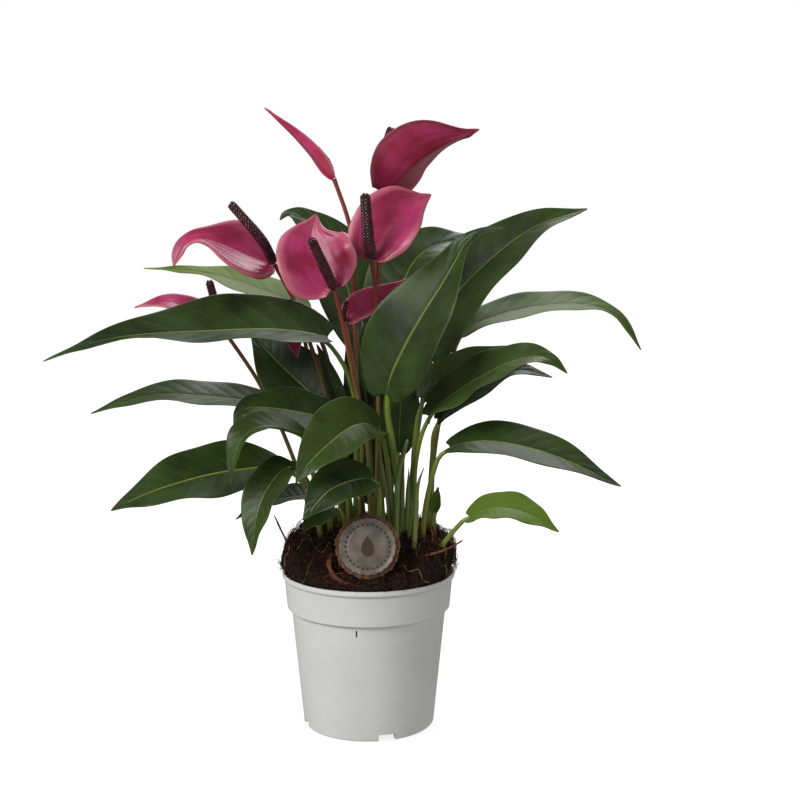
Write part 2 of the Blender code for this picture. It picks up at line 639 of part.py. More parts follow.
# ---------------------------------------------------------------------- soil
def around(radius_at, height_at):
    """One level of the coir: a ring of points from two functions of the angle."""
    level = []
    for k in range(SOIL_SIDES):
        angle = 2 * math.pi * k / SOIL_SIDES
        x = radius_at(angle) * math.cos(angle)
        y = radius_at(angle) * math.sin(angle)
        level.append(Vector((x, y, height_at(x, y))))
    return level


def inside_level(height, slack):
    """A level of the coir against the pot's wall, inside the wall's own facets."""
    radius = (inner_radius(height) - slack) * math.cos(math.pi / POT_SIDES) * 0.999
    return around(lambda angle: radius, lambda x, y: height)


def heap_level(bulge, share):
    """A lumpy level of the coir heaped on the rim."""
    def lumpy(angle):
        wave = 0.022 * math.sin(angle * 5 + 0.8) + 0.016 * math.sin(angle * 9 + 2.1)
        return POT_RIM_RADIUS * (bulge + wave)

    return around(lumpy, lambda x, y: POT_HEIGHT + SOIL_LIFT
                  + (soil_top(x, y) - SOIL_LIFT) * share)


soil_floor = POT_FLOOR + GAP
levels = [
    inside_level(soil_floor, GAP),
    inside_level(POT_STEP_Z - EDGE_BREAK, SOIL_SLACK),
    inside_level(POT_STEP_Z + 2.5 * EDGE_BREAK, SOIL_SLACK),
    inside_level(POT_HEIGHT + SOIL_SLACK, SOIL_SLACK),
    heap_level(1.0, 0.42),
    heap_level(0.965, 1.0),
]
for ratio in (0.82, 0.64, 0.44, 0.22):
    levels.append(around(lambda angle: POT_RIM_RADIUS * ratio,
                         lambda x, y: POT_HEIGHT + soil_top(x, y)))
soil_mesh = loft(levels, Vector((0, 0, soil_floor)), Vector((0, 0, POT_HEIGHT + soil_top(0, 0))))
soil = finish(soil_mesh, "soil", COIR)


def cut_with(made, collection):
    """Cut a piece with every solid in a collection."""
    cut = made.modifiers.new("Cuts", "BOOLEAN")
    cut.operation = "DIFFERENCE"
    cut.operand_type = "COLLECTION"
    cut.collection = collection
    cut.solver = "EXACT"


cut_with(soil, sockets)

# ----------------------------------------------------------------------- pot
FOOT_INSIDE = POT_BASE_RADIUS - FOOT_RING_WIDTH
UNDERCUT = 0.4 * EDGE_BREAK
profile = [
    (0.0, 0.0), (POT_PAD_RADIUS, 0.0), (POT_PAD_RADIUS + EDGE_BREAK, POT_CHANNEL),
    (FOOT_INSIDE - EDGE_BREAK, POT_CHANNEL), (FOOT_INSIDE, 0.0),
    (POT_BASE_RADIUS - EDGE_BREAK, 0.0), (POT_BASE_RADIUS, EDGE_BREAK),
    (POT_BODY_TOP, POT_STEP_Z - 1.5 * EDGE_BREAK), (POT_BODY_TOP + POT_STEP, POT_STEP_Z),
    (POT_BODY_TOP + POT_STEP + BAND_FLARE, POT_HEIGHT - 4 * EDGE_BREAK),
    (POT_RIM_RADIUS - 0.2 * RIM_BEAD, POT_HEIGHT - 2 * RIM_BEAD),
    (POT_RIM_RADIUS, POT_HEIGHT - RIM_BEAD), (POT_RIM_RADIUS - 0.4 * RIM_BEAD, POT_HEIGHT),
    (inner_radius(POT_HEIGHT), POT_HEIGHT), (inner_radius(POT_STEP_Z), POT_STEP_Z + 0.8 * EDGE_BREAK),
    (inner_radius(POT_STEP_Z - UNDERCUT), POT_STEP_Z - UNDERCUT),
    (inner_radius(POT_FLOOR), POT_FLOOR), (0.0, POT_FLOOR),
]
pot = turned("pot", profile, POT_WHITE)

for k in range(NOTCH_COUNT):
    bm = bmesh.new()
    bmesh.ops.create_cube(bm, size=1)
    bmesh.ops.scale(bm, verts=bm.verts, vec=(NOTCH_DEPTH, NOTCH_WIDTH, POT_CHANNEL * 2))
    mesh = bpy.data.meshes.new("notch_%d" % k)
    bm.to_mesh(mesh)
    bm.free()
    notch = finish(mesh, "notch_%d" % k, None, cutters, smooth=False)
    turn = Matrix.Rotation(FIRST_NOTCH + k * 2 * math.pi / NOTCH_COUNT, 4, "Z")
    notch.matrix_world = turn @ Matrix.Translation((POT_BASE_RADIUS - FOOT_RING_WIDTH / 2, 0, 0))

for k in range(DRAIN_COUNT):
    bm = bmesh.new()
    bmesh.ops.create_cone(bm, cap_ends=True, segments=16, radius1=DRAIN_RADIUS,
                          radius2=DRAIN_RADIUS, depth=0.02)
    mesh = bpy.data.meshes.new("drain_%d" % k)
    bm.to_mesh(mesh)
    bm.free()
    drain = finish(mesh, "drain_%d" % k, None, cutters, smooth=False)
    angle = FIRST_DRAIN + 2 * math.pi * k / DRAIN_COUNT
    middle = (POT_PAD_RADIUS + FOOT_INSIDE) / 2
    drain.location = (middle * math.cos(angle), middle * math.sin(angle), POT_CHANNEL)

cut_with(pot, cutters)
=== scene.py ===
# %% [markdown]
# # A potted anthurium
#
# The plant is a young anthurium: dark leathery leaves on thin stalks, eight
# pink spathes with maroon spadices, a heap of coir, a round tag, and a plain
# pot of pale plastic. The CAD model fixes where each of them is. This lesson
# grows a finely shaped piece round each one, then gives it a finish.

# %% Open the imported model
import math
import random

import bmesh
import bpy
import numpy as np
from mathutils import Matrix, Vector, noise
from mathutils.bvhtree import BVHTree


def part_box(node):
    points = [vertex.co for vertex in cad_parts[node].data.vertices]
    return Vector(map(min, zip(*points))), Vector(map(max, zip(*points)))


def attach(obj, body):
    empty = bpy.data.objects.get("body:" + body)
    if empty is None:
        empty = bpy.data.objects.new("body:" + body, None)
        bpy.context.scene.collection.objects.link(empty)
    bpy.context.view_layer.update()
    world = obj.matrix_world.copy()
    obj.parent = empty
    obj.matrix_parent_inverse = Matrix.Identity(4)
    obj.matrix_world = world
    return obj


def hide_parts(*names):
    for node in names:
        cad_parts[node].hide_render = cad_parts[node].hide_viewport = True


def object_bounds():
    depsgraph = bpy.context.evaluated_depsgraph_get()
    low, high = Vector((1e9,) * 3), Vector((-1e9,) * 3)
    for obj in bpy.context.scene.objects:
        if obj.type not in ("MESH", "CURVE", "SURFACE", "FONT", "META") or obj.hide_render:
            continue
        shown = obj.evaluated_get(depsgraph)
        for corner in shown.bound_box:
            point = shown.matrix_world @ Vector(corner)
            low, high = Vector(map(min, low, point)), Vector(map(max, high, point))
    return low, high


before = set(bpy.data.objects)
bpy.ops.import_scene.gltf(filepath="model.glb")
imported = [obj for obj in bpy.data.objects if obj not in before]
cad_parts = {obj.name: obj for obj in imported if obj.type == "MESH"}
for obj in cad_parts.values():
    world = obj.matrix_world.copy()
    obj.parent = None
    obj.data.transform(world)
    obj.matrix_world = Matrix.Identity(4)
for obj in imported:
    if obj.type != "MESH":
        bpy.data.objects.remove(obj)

MM = 0.001
cad_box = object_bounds()
print("nodes", len(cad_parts), "box", [round(x, 4) for corner in cad_box for x in corner])

# %% [markdown]
# ## Small tools
#
# An operator acts on all that is selected, so each step first selects one piece alone. A modifier
# is applied at once, because the next step needs its result. A finished piece rides on the plant's
# one body and stands for its CAD nodes, which it hides.

# %% Select, apply and finish a piece
def alone(piece):
    """Deselect everything, then select and activate one piece."""
    bpy.ops.object.select_all(action="DESELECT")
    piece.select_set(True)
    bpy.context.view_layer.objects.active = piece


def fresh(add, **settings):
    """Make one new primitive, alone in the selection."""
    bpy.ops.object.select_all(action="DESELECT")
    add(**settings)
    return bpy.context.object


def apply(piece, kind, **settings):
    """Add one modifier with its settings, and apply it."""
    alone(piece)
    modifier = piece.modifiers.new(kind, kind)
    for key, value in settings.items():
        setattr(modifier, key, value)
    bpy.ops.object.modifier_apply(modifier=modifier.name)


def soften(piece, width):
    """Bevel the sharp edges of a piece."""
    apply(piece, "BEVEL", width=width, segments=2, limit_method="ANGLE",
          angle_limit=math.radians(40), use_clamp_overlap=True)


def shade(piece, degrees=None):
    """Shade a piece smooth, or only across edges that turn by less than an angle."""
    alone(piece)
    if degrees is None:
        bpy.ops.object.shade_smooth()
    else:
        bpy.ops.object.shade_smooth_by_angle(angle=math.radians(degrees))


def join(pieces, name):
    """Join pieces into the first one, and give it a name."""
    bpy.ops.object.select_all(action="DESELECT")
    for piece in pieces:
        piece.select_set(True)
    bpy.context.view_layer.objects.active = pieces[0]
    bpy.ops.object.join()
    pieces[0].name = name
    return pieces[0]


def places_of(piece):
    """The places of a piece's points, one row each."""
    places = np.empty(len(piece.data.vertices) * 3, np.float32)
    piece.data.vertices.foreach_get("co", places)
    return places.reshape(-1, 3).astype(float)


def move_to(piece, places):
    """Move a piece's points to new places."""
    piece.data.vertices.foreach_set("co", places.astype(np.float32).ravel())
    piece.data.update()


def tag_value(piece, name, amounts):
    """Write a number on every point of a piece, for its finish to read."""
    data = piece.data.attributes.new(name, "FLOAT", "POINT")
    amounts = np.broadcast_to(amounts, len(piece.data.vertices))
    data.data.foreach_set("value", amounts.astype(np.float32))


def settle(piece, slot, *nodes):
    """Fix a finished piece to the plant, in place of its CAD nodes."""
    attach(piece, "root")
    if nodes:
        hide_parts(*nodes)


# %% [markdown]
# ## Writing a finish as a sum
#
# A finish is a tree of shader nodes. Written by hand that is long, so a small
# class stands for one output socket, and Python's own signs add the Math
# nodes: `1 - mask * 0.5` makes two of them. Every other node comes from the
# one method `node`.

# %% A value on a surface
class Value:
    """One output socket of a material's nodes, used in sums like a number."""

    def __init__(self, tree, socket=None):
        self.tree = tree
        self.socket = socket

    def node(self, kind, settings=None, inputs=None, output=0):
        """Add a node with its settings, and its inputs as numbers or values."""
        made = self.tree.nodes.new(kind)
        for key, value in (settings or {}).items():
            setattr(made, key, value)
        for key, value in (inputs or {}).items():
            if isinstance(value, Value):
                self.tree.links.new(value.socket, made.inputs[key])
            else:
                made.inputs[key].default_value = value
        return Value(self.tree, made.outputs[output])

    def maths(self, operation, *values):
        return self.node("ShaderNodeMath", {"operation": operation}, dict(enumerate(values)))

    def __add__(self, other):
        return self.maths("ADD", self, other)

    def __sub__(self, other):
        return self.maths("SUBTRACT", self, other)

    def __rsub__(self, other):
        return self.maths("SUBTRACT", other, self)

    def __mul__(self, other):
        return self.maths("MULTIPLY", self, other)

    def __pow__(self, other):
        return self.maths("POWER", self, other)

    def size(self):
        return self.maths("ABSOLUTE", self)

    def wave(self):
        return self.maths("SINE", self)

    def step(self, low, high):
        """0 below low, 1 above high, and smooth between."""
        return self.node("ShaderNodeMapRange", {"interpolation_type": "SMOOTHSTEP"},
                         {"Value": self, "From Min": low, "From Max": high})

    def noise(self, where, scale, detail=3.0, roughness=0.5):
        return self.node("ShaderNodeTexNoise", None,
                         {"Vector": where, "Scale": scale, "Detail": detail,
                          "Roughness": roughness})

    def blend(self, mask, under, over):
        """Colour over colour, where the mask is 1."""
        return self.node("ShaderNodeMix", {"data_type": "RGBA"},
                         {0: mask, 6: under, 7: over}, 2)

    def position(self):
        return self.node("ShaderNodeTexCoord", None, None, "Object")

    def attribute(self, name):
        return self.node("ShaderNodeAttribute", {"attribute_name": name}, None, "Fac")

    def part(self, number):
        """One part of a place: 0, 1 or 2."""
        return self.node("ShaderNodeSeparateXYZ", None, {0: self}, number)

    def stretched(self, where, scale):
        """A place pulled by a different amount along each axis."""
        return self.node("ShaderNodeMapping", None, {"Vector": where, "Scale": scale})

    def bump(self, height, strength, distance):
        return self.node("ShaderNodeBump", None,
                         {"Height": height, "Strength": strength, "Distance": distance})


def rgb(red, green, blue):
    """A colour named by its screen values from 0 to 255, as linear light."""
    linear = []
    for part in (red, green, blue):
        share = part / 255
        linear.append(share / 12.92 if share <= 0.04045 else ((share + 0.055) / 1.055) ** 2.4)
    return (*linear, 1.0)


def material(name, **plain):
    """A new material: its Principled shader takes plain numbers by name."""
    made = bpy.data.materials.new(name)
    made.use_nodes = True
    shader = made.node_tree.nodes["Principled BSDF"]
    for key, value in plain.items():
        shader.inputs[key.replace("_", " ")].default_value = value
    return made, Value(made.node_tree)


def wear(made, **linked):
    """Link values to a material's Principled shader by its sockets' names."""
    tree = made.node_tree
    for key, value in linked.items():
        tree.links.new(value.socket, tree.nodes["Principled BSDF"].inputs[key.replace("_", " ")])
    return made


# %% [markdown]
# ## Camera, light and floor
#
# The plant is seen from a little above its middle, from a metre away, so the
# pot's foot is only slightly curved. One broad soft lamp at the left and
# front shapes each leaf, a weaker one fills the right, and one high behind
# draws thin bright lines on the leaves' edges.

# %% Camera
CAMERA_PLACE = (0.0219, -1.0, 0.3723)
CAMERA_DIP = 0.1444
CAMERA_LENS = 66.47

camera_data = bpy.data.cameras.new("camera")
camera_data.lens = CAMERA_LENS
camera_data.sensor_width = 36
camera = bpy.data.objects.new("camera", camera_data)
camera.location = CAMERA_PLACE
camera.rotation_euler = (math.pi / 2 - CAMERA_DIP, 0, 0)
bpy.context.scene.collection.objects.link(camera)
bpy.context.scene.camera = camera
bpy.context.scene.view_settings.view_transform = "Standard"


# %% Lamps and the surrounding light
PLANT_MIDDLE = Vector((0, 0, 0.22))


def soft_lamp(name, place, size, power):
    """A square area lamp at a place, turned towards the plant's middle."""
    data = bpy.data.lights.new(name, "AREA")
    data.size = size
    data.energy = power
    lamp = bpy.data.objects.new(name, data)
    lamp.location = place
    lamp.rotation_euler = (PLANT_MIDDLE - Vector(place)).to_track_quat("-Z", "Y").to_euler()
    bpy.context.scene.collection.objects.link(lamp)


soft_lamp("key_lamp", (-1.0, -0.9, 0.95), 0.8, 17)
soft_lamp("fill_lamp", (1.5, -1.1, 0.7), 1.0, 5.0)
soft_lamp("rim_lamp", (0.25, 1.0, 1.5), 1.0, 16)

world = bpy.data.worlds.new("studio")
world.use_nodes = True
bpy.context.scene.world = world
sky = Value(world.node_tree)
seen = sky.node("ShaderNodeLightPath", None, None, "Is Camera Ray")
background = world.node_tree.nodes["Background"]
world.node_tree.links.new(sky.blend(seen, (0.25, 0.25, 0.25, 1), (1, 1, 1, 1)).socket,
                          background.inputs["Color"])

# %% Floor
floor = fresh(bpy.ops.mesh.primitive_circle_add, vertices=64, radius=3.0, fill_type="NGON",
              location=(0, 0, cad_box[0].z - 0.2 * MM))
floor.name = "floor"
floor_paint, value = material("floor_paint", Base_Color=(0.30, 0.30, 0.30, 1), Roughness=0.9,
                              Emission_Color=(1, 1, 1, 1), Emission_Strength=1.0)
# The floor glows a little less near the pot: a painted contact shadow under the plant.
far = value.node("ShaderNodeVectorMath", {"operation": "LENGTH"}, {0: value.position()}, "Value")
wear(floor_paint, Emission_Color=value.blend(far.step(0.05, 0.45), (0.78, 0.78, 0.78, 1),
                                             (1, 1, 1, 1)))
floor.data.materials.append(floor_paint)
floor.visible_diffuse = False
floor.visible_glossy = False

# %% [markdown]
# ## Reading the CAD model's leaves
#
# A CAD leaf is a closed skin of rings, eight points each, from the foot of
# its stalk to the tip of its blade. Counting outwards from the foot finds the
# rings again. The eight points of a blade's ring are its two edges, three
# points over the top and three under it, so the middle of the two skins is
# five smooth lines along the leaf: two edges, two half-way lines and the
# midrib. A fine sheet laid through those lines is the leaf.

# %% Rings of a CAD stem or blade
STALK_RINGS = 6
BLADE_RINGS = 10
BLADE_START = STALK_RINGS + 1
BLADE_TIP = BLADE_START + BLADE_RINGS


def ring_walk(level):
    """The places of one ring's vertices, in order round the ring."""
    left = sorted(level, key=lambda vertex: vertex.index)
    walk = [left.pop(0)]
    while left:
        beside = {edge.other_vert(walk[-1]) for edge in walk[-1].link_edges}
        walk.append(next(vertex for vertex in left if vertex in beside))
        left.remove(walk[-1])
    return np.array([vertex.co for vertex in walk])


def rings_of(node, near=None):
    """A node's rings, counted from its lower end or its end nearest a place."""
    mesh = bmesh.new()
    mesh.from_mesh(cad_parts[node].data)
    bmesh.ops.remove_doubles(mesh, verts=mesh.verts, dist=0.000002)
    mesh.verts.index_update()
    ends = [vertex for vertex in mesh.verts if len(vertex.link_edges) == 8]
    pole = min(ends, key=lambda vertex: (vertex.co.z if near is None
                                         else (vertex.co - Vector(near)).length))
    seen = {pole}
    level = [pole]
    rings = []
    while level:
        rings.append(ring_walk(level))
        level = {edge.other_vert(vertex) for vertex in level for edge in vertex.link_edges}
        level = sorted(level - seen, key=lambda vertex: vertex.index)
        seen.update(level)
    mesh.free()
    if len(rings[-1]) > 1:
        rings.append(rings[-1].mean(axis=0)[None])
    return rings


def arrangements(ring):
    """A ring of eight read from each of its points, both ways round."""
    for turned in (ring, ring[::-1]):
        for start in range(8):
            yield np.roll(turned, start, axis=0)


def shape_of(ring):
    """A ring's shape without its place and size."""
    centred = ring - ring.mean(axis=0)
    return centred / np.linalg.norm(centred)


def opened(rings):
    """Blade rings ordered from the left edge over the top, with edges up."""
    spans = [np.linalg.norm(ring[:4] - ring[4:], axis=1).max() for ring in rings]
    widest = int(np.argmax(spans))
    ring = rings[widest]
    edge = int(np.argmax(np.linalg.norm(ring[:4] - ring[4:], axis=1)))
    ring = np.roll(ring, -edge, axis=0)
    if np.dot(ring[2] - ring[6], ring[0] + ring[4] - ring[2] - ring[6]) < 0:
        ring = ring[[0, 7, 6, 5, 4, 3, 2, 1]]
    along = rings[widest + 1].mean(axis=0) - rings[widest - 1].mean(axis=0)
    if np.dot(np.cross(along, ring[2] - ring[6]), ring[4] - ring[0]) < 0:
        ring = ring[[4, 3, 2, 1, 0, 7, 6, 5]]
    done = {widest: ring}
    order = list(range(widest + 1, len(rings))) + list(range(widest - 1, -1, -1))
    for k in order:
        model = shape_of(done[k - 1] if k > widest else done[k + 1])
        done[k] = min(arrangements(rings[k]),
                      key=lambda ring: np.linalg.norm(shape_of(ring) - model))
    return [done[k] for k in range(len(rings))]


# %% Smooth curves through stations
STATIONS = np.array([0, 0.03, 0.10, 0.20, 0.32, 0.45, 0.58, 0.70, 0.81, 0.90, 0.96, 1.0])
ACROSS = np.array([-1, -0.52, 0, 0.52, 1.0])


def hermite(low, high, low_slope, high_slope, share, width):
    """A smooth curve from one value to the next, which has a given slope at both."""
    return (low * (1 + 2 * share) * (1 - share) ** 2 + high * share ** 2 * (3 - 2 * share)
            + low_slope * width * share * (1 - share) ** 2
            - high_slope * width * share ** 2 * (1 - share))


def smooth(knots, values, at):
    """Values read off a smooth curve through the knots, at each place asked."""
    slopes = np.gradient(values, knots, axis=0)
    k = np.clip(np.searchsorted(knots, at) - 1, 0, len(knots) - 2)
    width = knots[k + 1] - knots[k]
    share = np.clip((at - knots[k]) / width, 0, 1)
    shape = (-1,) + (1,) * (np.ndim(values) - 1)
    share = share.reshape(shape)
    width = width.reshape(shape)
    return hermite(values[k], values[k + 1], slopes[k], slopes[k + 1], share, width)


def across(lines, side):
    """Points between the five lines of each row, from -1 at the left edge to 1."""
    slopes = np.gradient(lines, ACROSS, axis=1)
    k = np.clip(np.searchsorted(ACROSS, side) - 1, 0, 3)
    row = np.arange(len(side))
    width = (ACROSS[k + 1] - ACROSS[k])[:, None]
    share = (side - ACROSS[k])[:, None] / width
    return hermite(lines[row, k], lines[row, k + 1], slopes[row, k], slopes[row, k + 1],
                   share, width)


def middle_lines(rings, tip, base=None):
    """The five lines of a blade, at each station from its base to its tip."""
    rows = [np.array([r[0], (r[1] + r[7]) / 2, (r[2] + r[6]) / 2, (r[3] + r[5]) / 2, r[4]])
            for r in opened(rings)]
    if base is None:
        base = rows[0][2] + (rows[0][2] - rows[1][2]) * 0.43
    first = base + (rows[0] - rows[0][2]) * 0.62
    last = tip + (rows[-1] - rows[-1][2]) * 0.12
    return np.array([first] + rows + [last])


# %% [markdown]
# ## A blade from a flat sheet
#
# A blade starts as a flat grid. Each of its points has a place across the
# leaf and a place along it, and moves to the same place on the five lines.
# Small moves along the surface then add what the CAD leaf leaves out: the
# valley over the midrib, swellings between the side veins, and edges that
# wave a little. Solidify gives the sheet its thickness, and one level of
# Subdivision Surface rounds it.

# %% Shape a sheet
def sheet(name, lines, relief, columns, rows):
    """A grid laid on a blade's lines, with a map across and along it."""
    piece = fresh(bpy.ops.mesh.primitive_grid_add, x_subdivisions=columns,
                  y_subdivisions=rows, size=2)
    piece.name = name
    flat = places_of(piece)
    side = np.sign(flat[:, 0]) * np.abs(flat[:, 0]) ** 1.25
    way = (flat[:, 1] + 1) / 2
    way = 0.55 * way + 0.45 * (0.5 - 0.5 * np.cos(math.pi * way))

    def place(side, way):
        return across(smooth(STATIONS, lines, way), side)

    points = place(side, way)
    sideways = place(np.minimum(side + 0.02, 1), way) - place(np.maximum(side - 0.02, -1), way)
    onward = place(side, np.minimum(way + 0.01, 1)) - place(side, np.maximum(way - 0.01, 0))
    normal = np.cross(sideways, onward)
    normal /= np.maximum(np.linalg.norm(normal, axis=1), 1e-12)[:, None]
    move_to(piece, points + normal * relief(side, way)[:, None])
    layer = piece.data.uv_layers[0]
    layer.name = "blade"
    corners = np.array([loop.vertex_index for loop in piece.data.loops])
    spots = np.stack([(side[corners] + 1) / 2, way[corners]], axis=1)
    layer.data.foreach_set("uv", spots.astype(np.float32).ravel())
    return piece


def fade_at_ends(way, reach):
    """1 along a blade, falling to 0 within a share of its length at both ends."""
    return np.clip(way / reach, 0, 1) * np.clip((1 - way) / reach, 0, 1)


def thicken(piece, thickness, top, under):
    """Give a sheet its thickness and its two finishes, and round it."""
    piece.data.materials.append(top)
    piece.data.materials.append(under)
    apply(piece, "SOLIDIFY", thickness=thickness, offset=0, material_offset=1)
    apply(piece, "SUBSURF", levels=1, render_levels=1)
    shade(piece)


# %% Round strands along paths
def strands(name, paths, sides, finish, degrees=50):
    """One mesh of round strands. A path is its points and a radius for each."""
    piece = fresh(bpy.ops.curve.primitive_bezier_curve_add)
    data = piece.data
    data.splines.clear()
    data.bevel_depth = MM
    data.bevel_resolution = (sides - 4) // 2
    data.use_fill_caps = True
    for points, radii in paths:
        spline = data.splines.new("POLY")
        spline.points.add(len(points) - 1)
        for point, place, radius in zip(spline.points, points, radii):
            point.co = (*place, 1)
            point.radius = radius / MM
    alone(piece)
    bpy.ops.object.convert(target="MESH")
    piece = bpy.context.object
    piece.name = name
    apply(piece, "WELD", merge_threshold=0.000002)
    shade(piece, degrees)
    piece.data.materials.append(finish)
    return piece


def rod_of(rings, first, last):
    """The line through the middles of a rod's rings, and its radius at each.

    The radii at the two poles are shares of their neighbours' radii.
    """
    radii = [np.linalg.norm(ring - ring.mean(axis=0), axis=1).mean() for ring in rings[1:-1]]
    middles = [ring.mean(axis=0) for ring in rings]
    return middles, [radii[0] * first] + radii + [radii[-1] * last]


def resample(points, count, radii=None):
    """A path read evenly off a smooth curve through its points."""
    points = np.array(points, float)
    steps = np.linalg.norm(np.diff(points, axis=0), axis=1)
    knots = np.concatenate([[0], np.cumsum(steps)])
    at = np.linspace(0, knots[-1], count)
    path = smooth(knots, points, at)
    if radii is None:
        return path
    return path, np.interp(at, knots, radii)


# %% [markdown]
# ## Leaf finish
#
# An anthurium's leaf is leathery and half glossy: deep green on top, with
# thin paler veins that leave the midrib at a slant and meet near the edge,
# and a fine light line round the edge. The under side is paler and duller.
# The pattern follows the leaf's own map, so it bends with the leaf. A number that each leaf
# carries says how pale it is: partly its youth, and on leaves lit from behind, painted backlight.

# %% Leaf top, leaf under side and stalk
VEINS = 11
VEIN_SLANT = 0.16


def vein_turns(side, way):
    """Grows by one from each side vein to the next. Veins leave the midrib at a slant."""
    return (way - side ** 1.4 * VEIN_SLANT) * VEINS


def leaf_map(value):
    """How far a point is from the midrib, from 0 to 1, and how far along the leaf."""
    spot = value.node("ShaderNodeUVMap", {"uv_map": "blade"})
    return (spot.part(0) * 2 - 1).size(), spot.part(1), spot


def leaf_finish(name, dark, light, youth_and_backlight, coat, roughness):
    """A leaf's finish from its dark, its lit and its pale colour. The pale colour marks youth, and
    on leaves lit from behind it is painted backlight.
    """
    made, value = material(name, Coat_Roughness=0.30, Specular_IOR_Level=0.32)
    side, way, spot = leaf_map(value)
    where = value.position()
    midrib = 1 - side.step(0.006, 0.05 - way * 0.03)
    ridge = value.maths("PINGPONG", vein_turns(side, way), 0.5)
    veins = (1 - ridge.step(0.0, 0.10)) * side.step(0.0, 0.12) * (1 - side.step(0.80, 0.93))
    collecting = 1 - ((side - 0.87).size()).step(0.004, 0.02)
    edge = side.step(0.975, 0.992)
    clouds = value.noise(where, 38, 4)
    fine = value.noise(where, 420, 3)
    youth_and_backlight_share = value.attribute("youth_and_backlight")
    colour = value.blend(clouds.step(0.30, 0.72), dark, light)
    # Paler where the leaf's share is high: its youth, and painted backlight on leaves lit from
    # behind.
    colour = value.blend(youth_and_backlight_share, colour, youth_and_backlight)
    pale = midrib * 0.32 + veins * 0.05 + collecting * 0.04 + edge * 0.50
    colour = value.blend(pale * (1 - youth_and_backlight_share * 0.3), colour, rgb(122, 144, 54))
    specks = value.noise(where, 900, 1).step(0.70, 0.78) * 0.25
    colour = value.blend(specks, colour, rgb(96, 112, 62))
    height = veins * -0.25 + midrib * 0.4 + fine * 0.16 + value.noise(where, 110, 2) * 0.45
    return wear(made, Base_Color=colour, Normal=value.bump(height, 0.5, 0.6 * MM),
                Roughness=clouds * 0.10 + fine * 0.08 + youth_and_backlight_share * 0.16 + roughness,
                Coat_Weight=coat - clouds * 0.12 - youth_and_backlight_share * 0.12)


leaf_top = leaf_finish("leaf_top", rgb(22, 38, 8), rgb(45, 69, 14), rgb(100, 130, 30), 0.20, 0.36)
leaf_under = leaf_finish("leaf_under", rgb(58, 86, 20), rgb(82, 110, 28), rgb(132, 160, 44), 0.05,
                         0.48)


def stem_finish(name, low, high, turn, blush):
    """A stalk's finish: one colour near the coir, another above, with a blush."""
    made, value = material(name, Coat_Roughness=0.25)
    where = value.position()
    streaks = value.noise(value.stretched(where, (260, 260, 18)), 1, 3)
    mix = (where.part(2) + streaks * 0.02).step(turn - 0.05, turn + 0.07)
    colour = value.blend(mix, low, high)
    colour = value.blend(streaks.step(0.48, 0.75) * 0.5, colour, blush)
    return wear(made, Base_Color=colour, Roughness=streaks * 0.2 + 0.28,
                Coat_Weight=0.30 - streaks * 0.2, Normal=value.bump(streaks, 0.35, 0.4 * MM))


leaf_stalk = stem_finish("leaf_stalk", rgb(140, 154, 62), rgb(98, 124, 38), 0.20, rgb(112, 96, 40))
red_stalk = stem_finish("red_stalk", rgb(112, 108, 44), rgb(134, 48, 34), 0.25, rgb(100, 40, 32))

# %% [markdown]
# ## The leaves
#
# Each leaf is one piece: a blade, and a round stalk that runs on as the rib under the blade and
# thins out towards the tip. Paler leaves are named with a share from 0 to 1, for their youth and,
# where they are lit from behind, for painted backlight; two leaves have stalks flushed with red.

# %% Grow the leaves
# Paleness of named leaves: their youth, plus painted backlight on those lit from behind.
YOUTH_AND_BACKLIGHT = {
    "leaf_left_pale": 0.75, "leaf_right_lowest": 0.80, "leaf_right_arching": 0.50,
    "leaf_sprout": 0.60, "leaf_right_mid": 0.15, "leaf_front_tall": 0.05, "leaf_hood": 0.16,
    "leaf_right_bright": 0.20, "leaf_hanging": 0.12,
}
RED_STALKS = ("leaf_right_arching", "leaf_left_pale")


def grow_leaf(node, seed):
    """One leaf in the place of its CAD node."""
    chance = random.Random(seed)
    rings = rings_of(node)
    lines = middle_lines(rings[BLADE_START:BLADE_TIP], rings[BLADE_TIP][0])
    width = np.linalg.norm(lines[:, 4] - lines[:, 0], axis=1).max()
    length = np.linalg.norm(np.diff(lines[:, 2], axis=0), axis=1).sum()
    waves = chance.uniform(2.2, 3.6)
    shifts = (chance.uniform(0, 6.28), chance.uniform(0, 6.28))
    ripple = width * chance.uniform(0.018, 0.034)

    def relief(side, way):
        far = np.abs(side)
        turn = np.where(side < 0, shifts[0], shifts[1])
        fade = fade_at_ends(way, 0.15)
        wave = ripple * far ** 2.6 * np.sin(2 * math.pi * waves * way + turn) * fade
        swell = width * 0.006 * np.cos(2 * math.pi * vein_turns(far, way))
        swell = swell * far * (1 - far) * 4 * fade
        valley = -width * 0.016 * np.exp(-(side / 0.07) ** 2) * fade
        return wave - swell + valley

    blade = sheet(node + "_blade", lines, relief, 16, 44)
    thicken(blade, 0.7 * MM, leaf_top, leaf_under)
    path, thick = rod_of(rings[:BLADE_START + 1], 1, 1)
    del path[-1], thick[-1]
    under = np.cross(lines[:, 4] - lines[:, 0], np.gradient(lines[:, 2], axis=0))
    under = -under / np.maximum(np.linalg.norm(under, axis=1), 1e-12)[:, None]
    neck = thick[-1]
    for k in range(1, BLADE_RINGS):
        rib = neck * 0.9 if k == 1 else neck * 0.8 * (1 - STATIONS[k]) ** 1.2 + 0.25 * MM
        path.append(lines[k, 2] + under[k] * rib * 0.9)
        thick.append(rib)
    path, thick = resample(path, 44, thick)
    stalk = strands(node + "_stalk", [(path, thick)], 10,
                    red_stalk if node in RED_STALKS else leaf_stalk)
    piece = join([blade, stalk], "grown_" + node)
    tag_value(piece, "youth_and_backlight", YOUTH_AND_BACKLIGHT.get(node, chance.uniform(0.0, 0.10)))
    settle(piece, "leaf", node)
    return length, width


leaf_nodes = sorted(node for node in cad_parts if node.startswith("leaf_"))
for seed, node in enumerate(leaf_nodes):
    length, width = grow_leaf(node, seed)
print("leaves", len(leaf_nodes), "last", round(length, 3), "by", round(width, 3))
